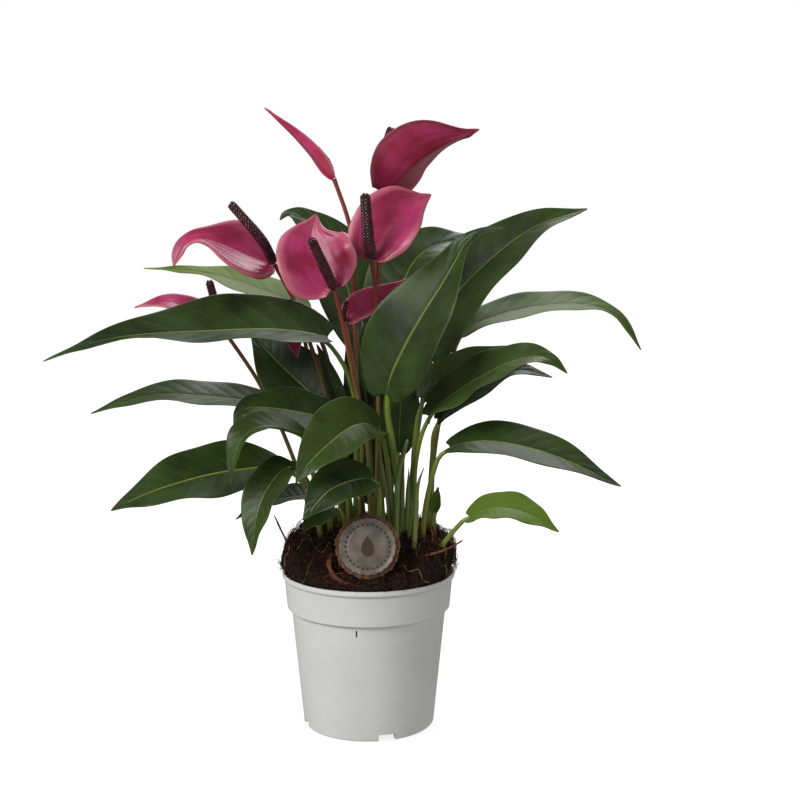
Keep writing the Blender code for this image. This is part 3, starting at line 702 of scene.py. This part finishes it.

# %% [markdown]
# ## Flower finishes
#
# A spathe is a waxy leaf: magenta pink with a strong gloss, lighter and a little peachy at its rim
# and tip, with veins that run from its base to its tip; the deeper red low down is painted shade
# at its base. Its outer side is redder and duller. The spadix is nearly black maroon; each of its
# florets has a small pale point.

# %% Spathe, spadix and floret
def spathe_finish(name, deep, clear, rim, roughness):
    """A waxy petal-like finish from its deep, its clear and its rim colour."""
    made, value = material(name, Coat_Weight=0.30, Coat_Roughness=0.30, Coat_IOR=1.45,
                           Specular_IOR_Level=0.4)
    side, way, spot = leaf_map(value)
    where = value.position()
    clouds = value.noise(where, 45, 4)
    fine = value.noise(where, 500, 2)
    long_veins = (side * 25 + value.noise(where, 60, 1) * 1.2).wave() * 0.5 + 0.5
    net = value.noise(value.stretched(spot, (26, 7, 1)), 1, 2)
    colour = value.blend(clouds.step(0.35, 0.68), deep, clear)
    # Painted shade: the spathe's base is blended towards its deep red.
    colour = value.blend((1 - way.step(0.02, 0.30)) * 0.55, colour, deep)
    pale = (side + clouds * 0.2).step(0.80, 1.12) * 0.75 + way.step(0.72, 1.0) * 0.30
    colour = value.blend(pale, colour, rim)
    colour = value.blend(long_veins.step(0.86, 1.0) * 0.22 + net.step(0.55, 0.75) * 0.16,
                         colour, deep)
    colour = value.blend(side.step(0.975, 0.99) * 0.45, colour, rgb(96, 60, 44))
    height = long_veins * 0.5 + fine * 0.2 + net * 0.5
    return wear(made, Base_Color=colour, Roughness=clouds * 0.14 + roughness,
                Normal=value.bump(height, 0.35, 0.6 * MM))


spathe_inner = spathe_finish("spathe_inner", rgb(150, 24, 66), rgb(192, 58, 112),
                             rgb(214, 122, 136), 0.32)
spathe_outer = spathe_finish("spathe_outer", rgb(168, 28, 64), rgb(200, 58, 112),
                             rgb(216, 100, 124), 0.38)


def mottled(name, dark, light, scale, detail, edges=None, **plain):
    """A finish in cloudy patches of two colours, sharper between two edges."""
    made, value = material(name, **plain)
    tone = value.noise(value.position(), scale, detail)
    return wear(made, Base_Color=value.blend(tone.step(*edges) if edges else tone, dark, light))


spadix_skin = mottled("spadix_skin", rgb(34, 8, 16), rgb(72, 20, 34), 160, 3,
                      Roughness=0.42, Coat_Weight=0.15)
value = Value(spadix_skin.node_tree)
wear(spadix_skin, Normal=value.bump(value.noise(value.position(), 900, 2), 0.3, 0.3 * MM))
floret_skin = mottled("floret_skin", rgb(48, 10, 22), rgb(92, 28, 44), 220, 2, (0.35, 0.65),
                      Roughness=0.34, Coat_Weight=0.3)
floret_point = mottled("floret_point", rgb(122, 70, 84), rgb(196, 150, 156), 300, 1, (0.4, 0.6),
                       Roughness=0.5)

# %% [markdown]
# ## One floret, copied round a spadix
#
# The spadix is covered with florets, each turned from the one before by the
# golden angle, as seeds on a sunflower are. One floret is modelled, a short
# four-sided stud with a stepped top and a pale point, and then copied.

# %% Model the floret
def select_where(test, kind="faces"):
    """In edit mode, select the faces, edges or vertices that pass a test."""
    mesh = bmesh.from_edit_mesh(bpy.context.object.data)
    for parts in (mesh.verts, mesh.edges, mesh.faces):
        for part in parts:
            part.select_set(False)
    for part in getattr(mesh, kind):
        if test(part):
            part.select_set(True)
    mesh.select_flush_mode()
    bmesh.update_edit_mesh(bpy.context.object.data)


def edit(piece, mode="FACE"):
    """Open one piece in edit mode, selecting by faces, edges or vertices."""
    alone(piece)
    bpy.ops.object.mode_set(mode="EDIT")
    bpy.ops.mesh.select_mode(type=mode)


def close_edit():
    """Go back to object mode."""
    bpy.ops.object.mode_set(mode="OBJECT")


floret = fresh(bpy.ops.mesh.primitive_cylinder_add, vertices=4, radius=1.0, depth=0.8)
floret.data.materials.append(floret_skin)
floret.data.materials.append(floret_point)
edit(floret)
select_where(lambda face: face.normal.z > 0.9)
bpy.ops.mesh.inset(thickness=0.30)
bpy.ops.transform.translate(value=(0, 0, 0.22))
bpy.ops.mesh.inset(thickness=0.26)
bpy.ops.transform.translate(value=(0, 0, 0.10))
floret.active_material_index = 1
bpy.ops.object.material_slot_assign()
select_where(lambda face: face.normal.z < -0.9)
bpy.ops.mesh.delete(type="FACE")
close_edit()


def placed(right, up, facing, place, size=1.0):
    """A placement that turns the three axes to these directions, at a place and size."""
    turned = Matrix((right, up, facing)).transposed() * size
    return Matrix.Translation(place) @ turned.to_4x4()


def copies(name, master, places, materials):
    """One mesh of copies of a small master, one at each 4 x 4 placement."""
    points = np.array([[*vertex.co, 1.0] for vertex in master.data.vertices])
    faces = [tuple(face.vertices) for face in master.data.polygons]
    slots = [face.material_index for face in master.data.polygons]
    laid = np.concatenate([points @ np.array(place).T for place in places])[:, :3]
    count = len(points)
    all_faces = [tuple(corner + count * k for corner in face)
                 for k in range(len(places)) for face in faces]
    mesh = bpy.data.meshes.new(name)
    mesh.from_pydata(laid.tolist(), [], all_faces)
    mesh.polygons.foreach_set("material_index", slots * len(places))
    for finish in materials:
        mesh.materials.append(finish)
    piece = bpy.data.objects.new(name, mesh)
    bpy.context.scene.collection.objects.link(piece)
    return piece


# %% [markdown]
# ## The flowers
#
# A flower is three pieces: a red-brown stalk, the spathe, and the spadix that
# stands over the spathe's base. The spathe is a sheet like a leaf, but cupped
# and thicker, with a rolled rim.

# %% Grow the flowers
GOLDEN_ANGLE = math.pi * (3 - math.sqrt(5))
FLORET_PITCH = 0.00155
FLORET_SIZE = FLORET_PITCH * 0.56
FIRST_FLORET = 0.0008
SPADIX_STEPS = 80


def grow_spathe(flower, head, seed):
    """The spathe of a flower, its base joined to the head of its stalk."""
    chance = random.Random(seed)
    node = flower + "_spathe"
    rings = rings_of(node, head)
    lines = middle_lines(rings[1:BLADE_RINGS + 1], rings[BLADE_RINGS + 1][0],
                         head * 0.6 + rings[0][0] * 0.4)
    width = np.linalg.norm(lines[:, 4] - lines[:, 0], axis=1).max()
    turn = chance.uniform(0, 6.28)

    def relief(side, way):
        far = np.abs(side)
        rolled = -width * 0.045 * np.clip((far - 0.82) / 0.18, 0, 1) ** 2
        wave = width * 0.018 * far ** 2 * np.sin(2 * math.pi * 1.7 * way + turn + side)
        veins = width * 0.0035 * np.cos(far * 25) * (1 - far)
        valley = -width * 0.014 * np.exp(-(side / 0.08) ** 2)
        return (rolled + wave + veins + valley) * fade_at_ends(way, 0.12)

    piece = sheet("grown_" + node, lines, relief, 24, 36)
    thicken(piece, 1.0 * MM, spathe_inner, spathe_outer)
    settle(piece, "spathe", node)


def grow_spadix(flower, head):
    """The spadix of a flower: a tapered body under rows of florets."""
    node = flower + "_spadix"
    rings = rings_of(node, head)
    centres, radii = rod_of(rings, 0.8, 0.35)
    path, thick = resample(centres, SPADIX_STEPS + 1, radii)
    way = np.linspace(0, 1, SPADIX_STEPS + 1)
    length = np.linalg.norm(np.diff(path, axis=0), axis=1).sum()
    cap = np.clip(1 - (1 - way) * length / (thick.max() * 0.9), 0, 1)
    thick = np.maximum(thick, thick.max() * (0.98 - way * 0.14))
    thick = thick * np.sqrt(np.maximum(1 - cap ** 2, 0.02))
    axis = strands(node + "_body", [(path[::4], thick[::4] * 0.86)], 12, spadix_skin)
    along = np.gradient(path, axis=0)
    along /= np.linalg.norm(along, axis=1)[:, None]
    places = []
    reached = FIRST_FLORET
    number = 0
    while reached < length:
        share = reached / length * SPADIX_STEPS
        k = int(share)
        centre = path[k] + (path[min(k + 1, SPADIX_STEPS)] - path[k]) * (share - k)
        tangent = Vector(along[k])
        start = tangent.orthogonal().normalized()
        outward = Matrix.Rotation(number * GOLDEN_ANGLE, 3, tangent) @ start
        sideways = outward.cross(tangent)
        facing = outward * math.sqrt(1 - cap[k] ** 2) + tangent * cap[k]
        places.append(placed(sideways.cross(facing), sideways, facing,
                             Vector(centre) + outward * (thick[k] * 0.90), FLORET_SIZE))
        number += 1
        reached += FLORET_PITCH ** 2 / (2 * math.pi * thick[k])
    skin = copies(node + "_florets", floret, places, (floret_skin, floret_point))
    piece = join([axis, skin], "grown_" + node)
    settle(piece, "spadix", node)
    return len(places)


def grow_flower(flower, seed):
    """One flower in the place of its three CAD nodes."""
    centres, radii = rod_of(rings_of(flower + "_stalk"), 1, 1.15)
    head = centres[-1]
    path, thick = resample(centres, 48, radii)
    stalk = strands("grown_" + flower + "_stalk", [(path, thick)], 10, red_stalk)
    settle(stalk, "flower_stalk", flower + "_stalk")
    grow_spathe(flower, head, seed)
    return grow_spadix(flower, head)


flowers = sorted(node[:-7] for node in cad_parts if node.endswith("_spathe"))
for seed, flower in enumerate(flowers):
    florets = grow_flower(flower, seed)
    print(flower, "florets", florets)
bpy.data.objects.remove(floret)

# %% [markdown]
# ## The pot
#
# The pot has a tapered wall, a wider band below a rolled rim, a foot ring
# with four notches, and holes in a recessed floor. It is a turned shape, so it
# starts as a circle that is extruded up the outer side, over the rim and down
# the inner side. Its radii are measured from the CAD pot, and the notches,
# the holes and one small slot are cut last.

# %% Raise the wall
pot_low, pot_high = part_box("pot")
pot_height = pot_high.z - pot_low.z
pot_points = places_of(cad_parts["pot"])
BAND = 0.025
WALL = 0.0013
FLOOR_TOP = 0.006
EDGE = 0.0008
POT_SIDES = 128


def outer_radius(height):
    """The pot's outer radius at one of the heights where its wall turns."""
    level = pot_points[np.abs(pot_points[:, 2] - height) < 0.0003]
    return np.hypot(level[:, 0], level[:, 1]).max()


def raise_ring(sections, start):
    """Extrude the selected ring through sections of (radius, height)."""
    radius, height = start
    for next_radius, next_height in sections:
        bpy.ops.mesh.extrude_edges_move(
            TRANSFORM_OT_translate={"value": (0, 0, next_height - height)})
        grow = next_radius / radius
        bpy.ops.transform.resize(value=(grow, grow, 1), center_override=(0, 0, 0))
        radius, height = next_radius, next_height


step = pot_height - BAND
foot_radius = outer_radius(0.001)
body_radius = outer_radius(step - 0.0015)
band_radius = outer_radius(step)
rim_radius = outer_radius(pot_height - 0.0015)
wall = [(foot_radius, 0.8 * MM), (foot_radius + 0.2 * MM, 3 * MM),
        ((foot_radius + body_radius) / 2, step / 2),
        (body_radius, step - 2.2 * MM), (body_radius + 0.2 * MM, step - 1.0 * MM),
        (band_radius - 0.8 * MM, step - 0.4 * MM), (band_radius, step + 0.4 * MM)]
ROLLED_RIM = [(-1.7, -4.7), (-0.8, -4.0), (-0.1, -3.0), (0, -1.6), (-0.3, -0.5), (-1.0, 0),
              (-1.8, -0.4), (-2.4, -2.0)]
wall += [(rim_radius + out * MM, pot_height + up * MM) for out, up in ROLLED_RIM]
wall += [(band_radius - WALL, step + 1.2 * MM), (body_radius - WALL, step - 0.6 * MM),
         (foot_radius - WALL, FLOOR_TOP)]
pot = fresh(bpy.ops.mesh.primitive_circle_add, vertices=POT_SIDES, radius=foot_radius - EDGE)
pot.name = "turned_pot"
edit(pot, "EDGE")
bpy.ops.mesh.select_all(action="SELECT")
raise_ring(wall, (foot_radius - EDGE, 0.0))
bpy.ops.mesh.edge_face_add()
bpy.ops.mesh.inset(thickness=0.004)

# %% Turn the foot ring and the recessed floor
underside = [
    (foot_radius - 0.0038, 0.0), (foot_radius - 0.0044, 0.0010),
    (foot_radius - 0.0050, 0.0040), (foot_radius - 0.0056, 0.0045),
    (0.0172, 0.0045), (0.0166, 0.0040), (0.0162, 0.0006), (0.0154, 0.0),
]
select_where(lambda edge: all(vertex.co.z < 1e-6 for vertex in edge.verts), "edges")
raise_ring(underside, (foot_radius - EDGE, 0.0))
bpy.ops.mesh.edge_face_add()
bpy.ops.mesh.inset(thickness=0.003)
bpy.ops.mesh.select_all(action="SELECT")
bpy.ops.mesh.normals_make_consistent(inside=False)
close_edit()

# %% Cut the notches, the drain holes and the small slot under the band
NOTCH = (0.012, 0.012, 0.009)
NOTCH_COUNT = 4
FIRST_NOTCH = math.radians(-73)
SLOT = (0.0040, 0.0011, 0.0048)
SLOT_ANGLE = math.radians(-97.5)
DRAIN_RADIUS = 0.0035
DRAIN_CIRCLE = 0.0287
DRAIN_COUNT = 6
FIRST_DRAIN = math.radians(17)


def cut_pot(add, angle, reach, height, **settings):
    """Cut a new primitive out of the pot, at a place round it."""
    place = (reach * math.cos(angle), reach * math.sin(angle), height)
    tool = fresh(add, location=place, **settings)
    bpy.ops.object.transform_apply(location=True, rotation=True, scale=True)
    apply(pot, "BOOLEAN", operation="DIFFERENCE", solver="EXACT", object=tool)
    bpy.data.objects.remove(tool)


for k in range(NOTCH_COUNT):
    angle = FIRST_NOTCH + k * 2 * math.pi / NOTCH_COUNT
    cut_pot(bpy.ops.mesh.primitive_cube_add, angle, foot_radius - 0.002, 0.0,
            size=1, scale=NOTCH, rotation=(0, 0, angle))
cut_pot(bpy.ops.mesh.primitive_cube_add, SLOT_ANGLE, body_radius - 0.0002, step - 0.0056,
        size=1, scale=SLOT, rotation=(0, 0, SLOT_ANGLE))
for k in range(DRAIN_COUNT):
    cut_pot(bpy.ops.mesh.primitive_cylinder_add, FIRST_DRAIN + k * 2 * math.pi / DRAIN_COUNT,
            DRAIN_CIRCLE, 0.0045, vertices=24, radius=DRAIN_RADIUS, depth=0.02)
soften(pot, 0.25 * MM)
apply(pot, "WELD", merge_threshold=0.000005)
shade(pot, 28)

# %% The pot's plastic
pot_plastic, value = material("pot_plastic", Specular_IOR_Level=0.45)
where = value.position()
cloud = value.noise(where, 26, 4)
grain = value.noise(where, 1500, 2)
flow = value.noise(value.stretched(where, (300, 300, 9)), 1, 2)
height = where.part(2)
dust = value.noise(where, 240, 5, 0.7).step(0.60, 0.78)
low = 1 - height.step(0.0, 0.012)
high = height.step(pot_height - 0.006, pot_height)
colour = value.blend(cloud.step(0.3, 0.7), rgb(234, 235, 232), rgb(241, 241, 238))
colour = value.blend(dust * (low * 0.5 + high * 0.6 + 0.05), colour, rgb(126, 98, 72))
wear(pot_plastic, Base_Color=colour, Roughness=cloud * 0.10 + flow * 0.08 + 0.34,
     Normal=value.bump(grain * 0.2 + flow * 0.5, 0.25, 0.2 * MM))
pot.data.materials.append(pot_plastic)
settle(pot, "pot_plastic", "pot")
print("pot", round(rim_radius, 4), "rim", round(foot_radius, 4), "foot")

# %% [markdown]
# ## The coir
#
# Coconut fibre stands in a shaggy heap above the pot's rim. Its body is a
# copy of the CAD heap, remeshed finely and pushed about by noise. On that lie
# crumbs, and then hundreds of single fibres that curl over it and stick out
# at its edge, since loose ends are what the eye reads as coir.

# %% Coir, fibre and root finishes
def earth(name, dark, light, scale, roughness=0.9):
    """A rough brown finish between two colours."""
    made, value = material(name, Roughness=roughness, Specular_IOR_Level=0.25)
    where = value.position()
    tone = value.noise(where, scale, 4, 0.65)
    own = value.attribute("own_tone")
    colour = value.blend((tone * 0.6 + own * 0.4).step(0.30, 0.72), dark, light)
    return wear(made, Base_Color=colour,
                Normal=value.bump(value.noise(where, scale * 3, 3), 0.8, 1.2 * MM))


coir_body = earth("coir_body", rgb(16, 10, 7), rgb(46, 28, 19), 260)
coir_crumb = earth("coir_crumb", rgb(22, 13, 9), rgb(70, 40, 27), 420)
coir_fibre = earth("coir_fibre", rgb(26, 15, 10), rgb(86, 50, 33), 200, 0.75)
straw_fibre = earth("straw_fibre", rgb(120, 84, 52), rgb(196, 160, 112), 200, 0.7)
root_skin = earth("root_skin", rgb(78, 40, 24), rgb(150, 90, 58), 240, 0.6)

# %% The heap
rim_level = pot_high.z
heap = bpy.data.objects.new("heap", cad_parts["soil"].data.copy())
bpy.context.scene.collection.objects.link(heap)
heap.data.materials.clear()
apply(heap, "WELD", merge_threshold=0.000005)
apply(heap, "REMESH", mode="VOXEL", voxel_size=1.4 * MM)
apply(heap, "SMOOTH", factor=0.5, iterations=4)


def rough(points, size, seed):
    """Smooth random numbers from -1 to 1 over places, in lumps of a size."""
    return np.array([noise.noise(Vector(point) / size + Vector((seed, 0, 0)))
                     for point in points])


places = places_of(heap)
normals = np.array([vertex.normal for vertex in heap.data.vertices])
free = np.clip((places[:, 2] - rim_level - 0.0005) / 0.004, 0, 1)
lumps = (rough(places, 0.011, 3) * 3.6 + rough(places, 0.0045, 7) * 2.0
         + rough(places, 0.0021, 11) * 0.8) * MM
move_to(heap, places + normals * (lumps * free)[:, None])
heap.data.materials.append(coir_body)
shade(heap)
heap.name = "coir_heap"
tag_value(heap, "own_tone", 0.5)
settle(heap, "coir", "soil")
print("heap", len(heap.data.polygons), "faces")

# %% A place on the heap
ground = bmesh.new()
ground.from_mesh(heap.data)
ground_tree = BVHTree.FromBMesh(ground)
heap_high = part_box("soil")[1]


def ground_at(x, y):
    """The heap's height at a place, or the rim's level outside it."""
    hit = ground_tree.ray_cast(Vector((x, y, heap_high.z + 0.05)), Vector((0, 0, -1)))[0]
    return max(hit.z, rim_level) if hit else rim_level


# %% Crumbs
CRUMBS = 420

crumb = fresh(bpy.ops.mesh.primitive_cube_add, size=1.4)
edit(crumb)
bpy.ops.mesh.select_all(action="SELECT")
bpy.ops.mesh.subdivide(number_cuts=1)
bpy.ops.transform.vertex_random(offset=0.35, uniform=0.2, normal=0.5, seed=4)
bpy.ops.mesh.vertices_smooth(factor=0.5)
close_edit()
chance = random.Random(21)
places = []
for k in range(CRUMBS):
    angle = chance.uniform(0, 2 * math.pi)
    radius = rim_radius * math.sqrt(chance.random()) * 0.97
    x, y = radius * math.cos(angle), radius * math.sin(angle)
    size = chance.uniform(0.8, 2.4) * MM
    turn = Matrix.Rotation(chance.uniform(0, 6.28), 4,
                           (chance.gauss(0, 1), chance.gauss(0, 1), 0.5))
    shape = Matrix.Diagonal((size * chance.uniform(0.5, 1.0), size * chance.uniform(0.6, 1.8),
                             size * 0.6, 1))
    places.append(Matrix.Translation((x, y, ground_at(x, y) + size * 0.1)) @ turn @ shape)
crumbs = copies("coir_crumbs", crumb, places, (coir_crumb,))
bpy.data.objects.remove(crumb)
tones = [chance.random() for k in places]
tag_value(crumbs, "own_tone", np.repeat(tones, len(crumbs.data.vertices) // len(places)))
shade(crumbs)
settle(crumbs, "coir")

# %% Fibres
def fibre_path(x, y, heading, length, lift, drift, count=9):
    """A fibre that follows the heap from a place, rising and turning."""
    path = []
    step = length / (count - 1)
    for k in range(count):
        share = k / (count - 1)
        arch = lift * math.sin(math.pi * share) + 0.25 * MM
        wiggle = chance.gauss(0, 0.35) * MM
        path.append((x, y, ground_at(x, y) + arch + wiggle))
        heading += chance.gauss(drift, 0.38)
        x += math.cos(heading) * step
        y += math.sin(heading) * step
    return path


def held_in(path):
    """Bend the far end of a fibre back, so that it stays near the rim."""
    reach = np.hypot(path[:, 0], path[:, 1])
    most = rim_radius * 1.015
    over = np.maximum(reach - most, 0)
    scale = np.where(over > 0, (most + over * 0.25) / np.maximum(reach, 1e-6), 1.0)
    path[:, :2] *= scale[:, None]
    path[:, 2] += over * 0.35
    return path


def fibres(name, number, finish, lengths, thickness, lift, reach, seed):
    """Many fibres on the heap, from its middle out to a share of its radius."""
    chance.seed(seed)
    paths = []
    for k in range(number):
        angle = chance.uniform(0, 2 * math.pi)
        radius = rim_radius * (reach[0] + (reach[1] - reach[0]) * math.sqrt(chance.random()))
        heading = angle + chance.gauss(math.pi / 2, 0.9) * chance.choice((-1, 1))
        length = chance.uniform(*lengths) * MM
        path = fibre_path(radius * math.cos(angle), radius * math.sin(angle), heading, length,
                          chance.uniform(0.1, 1.0) * lift * MM, chance.gauss(0, 0.16))
        path = held_in(resample(path, 14))
        thick = chance.uniform(*thickness) * MM
        paths.append((path, np.linspace(thick, thick * 0.45, len(path))))
    piece = strands(name, paths, 4, finish, None)
    tag_value(piece, "own_tone", np.sin(places_of(piece) @ (900, 1300, 700)) * 0.5 + 0.5)
    settle(piece, "coir")


fibres("coir_fibres_fine", 1000, coir_fibre, (8, 26), (0.10, 0.20), 4.0, (0.0, 0.96), 31)
fibres("coir_fibres_coarse", 280, coir_fibre, (12, 36), (0.20, 0.36), 7.0, (0.2, 0.94), 32)
fibres("coir_fibres_edge", 360, coir_fibre, (5, 18), (0.11, 0.22), 8.0, (0.80, 0.98), 33)
fibres("straw_fibres", 60, straw_fibre, (12, 34), (0.18, 0.32), 5.0, (0.45, 0.95), 34)

# %% [markdown]
# ## Roots and shoots
#
# A few of the plant's own roots show on the coir, knobbly and orange-brown,
# and two young shoots stand among the stalks, each wrapped in a smooth pale
# sheath. They follow their CAD rods, with a little unevenness in thickness.

# %% Grow the roots and shoots
def grow_rod(node, finish, slot, uneven, seed):
    """A root or shoot in the place of its CAD node."""
    chance = random.Random(seed)
    centres, radii = rod_of(rings_of(node), 1, 0.5)
    path, thick = resample(centres, 60, radii)
    thick = thick * (1 + uneven * rough(path, 0.0035, seed))
    piece = strands("grown_" + node, [(path, thick)], 12, finish)
    tag_value(piece, "own_tone", chance.uniform(0.3, 0.8))
    settle(piece, slot, node)


sheath = stem_finish("sheath", rgb(150, 160, 84), rgb(92, 116, 52), 0.14, rgb(150, 120, 60))
for seed, node in enumerate(sorted(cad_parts)):
    if node.startswith("root_"):
        grow_rod(node, root_skin, "root", 0.45, seed)
    if node.startswith("shoot_"):
        grow_rod(node, sheath, "shoot", 0.06, seed)

# %% [markdown]
# ## Slim shoots and dry sheaths
#
# New leaves come up in a tight bunch, still rolled and sharply pointed, and
# every stalk wears a few dry papery scales at its foot. The CAD model leaves
# them out. The bunch starts at the foot of the model's blunt shoot.

# %% A bunch of slim shoots
SLIM_SHOOTS = [
    (-2, 4, -12, 4, 76, 1.5), (0, 3, -6, 3, 73, 1.9), (3, 5, 6, 4, 68, 1.4),
    (1, 8, 0, 8, 60, 1.6), (-4, 5, -15, 9, 52, 1.2), (8, 3, 13, 1, 42, 1.4),
    (4, 8, 5, 9, 66, 2.0), (7, 9, 9, 11, 58, 1.8), (-9, 9, -11, 11, 50, 1.8),
    (-5, 9, -4, 12, 64, 1.8),
]
bunch_foot = Vector(rings_of("shoot_blunt")[0][0])
paths = []
for start_x, start_y, tip_x, tip_y, rise, thick in SLIM_SHOOTS:
    start = bunch_foot + Vector((start_x, start_y, 0)) * MM
    tip = bunch_foot + Vector((tip_x, tip_y, rise)) * MM
    middle = start.lerp(tip, 0.5) - Vector((tip_x - start_x, 0, 0)) * 0.12 * MM
    path = resample([start, middle, tip], 24)
    way = np.linspace(0, 1, 24)
    paths.append((path, thick * MM * np.interp(way, (0, 0.3, 0.7, 1), (0.8, 1.0, 0.75, 0.06))))
settle(strands("slim_shoots", paths, 10, sheath), "shoot")

# %% Dry scales round the stalks' feet
papery = earth("papery_scale", rgb(84, 48, 28), rgb(164, 112, 70), 150, 0.6)
chance.seed(51)
paths = []
for node in sorted(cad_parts):
    if node.startswith("leaf_") or node.endswith("_stalk"):
        foot = Vector(rings_of(node)[1].mean(axis=0))
        for k in range(3):
            angle = chance.uniform(0, 2 * math.pi)
            outward = Vector((math.cos(angle), math.sin(angle), 0))
            start = foot + outward * 2.0 * MM
            start.z = ground_at(start.x, start.y) - 1.0 * MM
            rise = Vector((0, 0, chance.uniform(6, 15))) * MM
            tip = start + rise + outward * chance.uniform(0.6, 3.5) * MM
            path = resample([start, start + rise * 0.5, tip], 8)
            paths.append((path, np.linspace(1.1, 0.12, 8) * chance.uniform(0.6, 1.1) * MM))
scales = strands("papery_scales", paths, 6, papery)
tag_value(scales, "own_tone", 0.5)
settle(scales, "root")
print("scales", len(paths))

# %% [markdown]
# ## The tag
#
# A round tag leans on the coir: a pale disc with a crimped edge, like a
# bottle cap, on a ragged brown ring, held by a stake. It has a plain leaf in
# the middle and a ring of dots. The disc is a cylinder whose front is inset
# into rings and pushed in and out.

# %% Tag finishes
tag_face, value = material("tag_face", Roughness=0.45, Metallic=0.35)
where = value.position()
tone = value.noise(where, 120, 4)
scratch = value.noise(value.stretched(where, (900, 900, 60)), 1, 3)
# The disc's greys are the tag as it looks in the plant's shade, so painted shade darkens its
# colour.
colour = value.blend(tone.step(0.3, 0.7), rgb(112, 104, 95), rgb(146, 136, 124))
colour = value.blend(scratch.step(0.62, 0.75) * 0.35, colour, rgb(88, 76, 66))
wear(tag_face, Base_Color=colour, Roughness=scratch * 0.2 + 0.35,
     Normal=value.bump(scratch, 0.2, 0.2 * MM))
tag_mark = mottled("tag_mark", rgb(48, 36, 28), rgb(84, 66, 50), 400, 2, Roughness=0.6)
tag_board = earth("tag_board", rgb(70, 44, 30), rgb(132, 92, 66), 180, 0.7)

# %% Frame of the tag
disc_points = places_of(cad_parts["tag_disc"])
disc_centre = disc_points.mean(axis=0)
disc_radius = np.percentile(np.linalg.norm(disc_points - disc_centre, axis=1), 90)
ring_points = places_of(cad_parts["tag_backing"])
ring_radius = np.linalg.norm(ring_points - ring_points.mean(axis=0), axis=1).max()
facing = Vector(np.linalg.eigh(np.cov((disc_points - disc_centre).T))[1][:, 0])
if facing.y > 0:
    facing = -facing
disc_up = (Vector((0, 0, 1)) - facing * facing.z).normalized()
tag_frame = placed(disc_up.cross(facing), disc_up, facing, disc_centre)
print("tag radius", round(float(disc_radius), 4), "faces", [round(x, 2) for x in facing])


def on_tag(piece):
    """Move a piece modelled flat at the origin onto the tag's plane."""
    piece.data.transform(tag_frame)
    piece.data.update()


def reshape_rim(piece, radius, change):
    """Stretch and lift the points beyond a radius by amounts that a rule gives."""
    for vertex in piece.data.vertices:
        reach = math.hypot(vertex.co.x, vertex.co.y)
        if reach > radius:
            stretch, lift = change(math.atan2(vertex.co.y, vertex.co.x), reach)
            vertex.co = Vector((vertex.co.x * (1 + stretch), vertex.co.y * (1 + stretch),
                                vertex.co.z + lift))


# %% Disc
CRIMPS = 24


def crimped(angle, reach):
    """The waves of a bottle cap's edge, half as deep on its inner ring."""
    crimp = math.cos(angle * CRIMPS) * (1 if reach > disc_radius * 0.98 else 0.5)
    return 0.016 * crimp, 0.2 * MM * crimp


disc = fresh(bpy.ops.mesh.primitive_cylinder_add, vertices=96, radius=disc_radius,
             depth=1.2 * MM)
edit(disc)
select_where(lambda face: face.normal.z > 0.9)
for thickness, rise in ((1.0, 0), (0.5, -0.3), (4.2, 0), (0.4, 0.2), (0.3, 0)):
    bpy.ops.mesh.inset(thickness=thickness * MM)
    bpy.ops.transform.translate(value=(0, 0, rise * MM))
close_edit()
reshape_rim(disc, disc_radius * 0.93, crimped)
soften(disc, 0.12 * MM)
shade(disc, 35)
disc.data.materials.append(tag_face)
on_tag(disc)

# %% Leaf and dots on the disc
FACE_LEVEL = 0.55 * MM
DOTS = 28
motif = fresh(bpy.ops.mesh.primitive_grid_add, x_subdivisions=8, y_subdivisions=16, size=2)
for vertex in motif.data.vertices:
    way = (vertex.co.y + 1) / 2
    half = 4.2 * MM * math.sin(math.pi * way ** 0.72) ** 0.8
    vertex.co = Vector((vertex.co.x * half, (way * 13.6 - 6.8) * MM, FACE_LEVEL))
apply(motif, "SOLIDIFY", thickness=0.3 * MM, offset=1)
apply(motif, "WELD", merge_threshold=0.00002)
motif.data.materials.append(tag_mark)
on_tag(motif)
dot = fresh(bpy.ops.mesh.primitive_uv_sphere_add, segments=10, ring_count=6, radius=0.62 * MM)
out = Matrix.Translation((disc_radius * 0.78, 0, FACE_LEVEL + 0.2 * MM))
flat = Matrix.Diagonal((1, 1.4, 0.4, 1))
dots = [Matrix.Rotation(2 * math.pi * k / DOTS, 4, "Z") @ out @ flat for k in range(DOTS)]
ring_of_dots = copies("ring_of_dots", dot, dots, (tag_mark,))
bpy.data.objects.remove(dot)
on_tag(ring_of_dots)
tag = join([disc, motif, ring_of_dots], "round_tag")
settle(tag, "tag_face", "tag_disc")

# %% Ragged ring behind the disc
def frayed(angle, _):
    """An uneven edge from waves of three sizes, curled by a fourth."""
    return (math.cos(angle * 17) * 0.018 + math.sin(angle * 41 + 1) * 0.012
            + math.sin(angle * 7) * 0.012, 0.4 * MM * math.sin(angle * 23))


board = fresh(bpy.ops.mesh.primitive_cylinder_add, vertices=144, radius=ring_radius * 0.96,
              depth=1.2 * MM)
edit(board)
select_where(lambda face: abs(face.normal.z) > 0.9)
bpy.ops.mesh.inset(thickness=1.2 * MM)
bpy.ops.mesh.inset(thickness=2.0 * MM)
close_edit()
reshape_rim(board, ring_radius * 0.85, frayed)
board.data.transform(Matrix.Translation((0, 0, -1.5 * MM)))
soften(board, 0.15 * MM)
shade(board, 35)
board.data.materials.append(tag_board)
on_tag(board)
board.name = "ragged_ring"
tag_value(board, "own_tone", 0.5)
settle(board, "tag_board", "tag_backing")

# %% Stake
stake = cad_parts["tag_stake"]
stake.data.materials.clear()
stake.data.materials.append(tag_board)
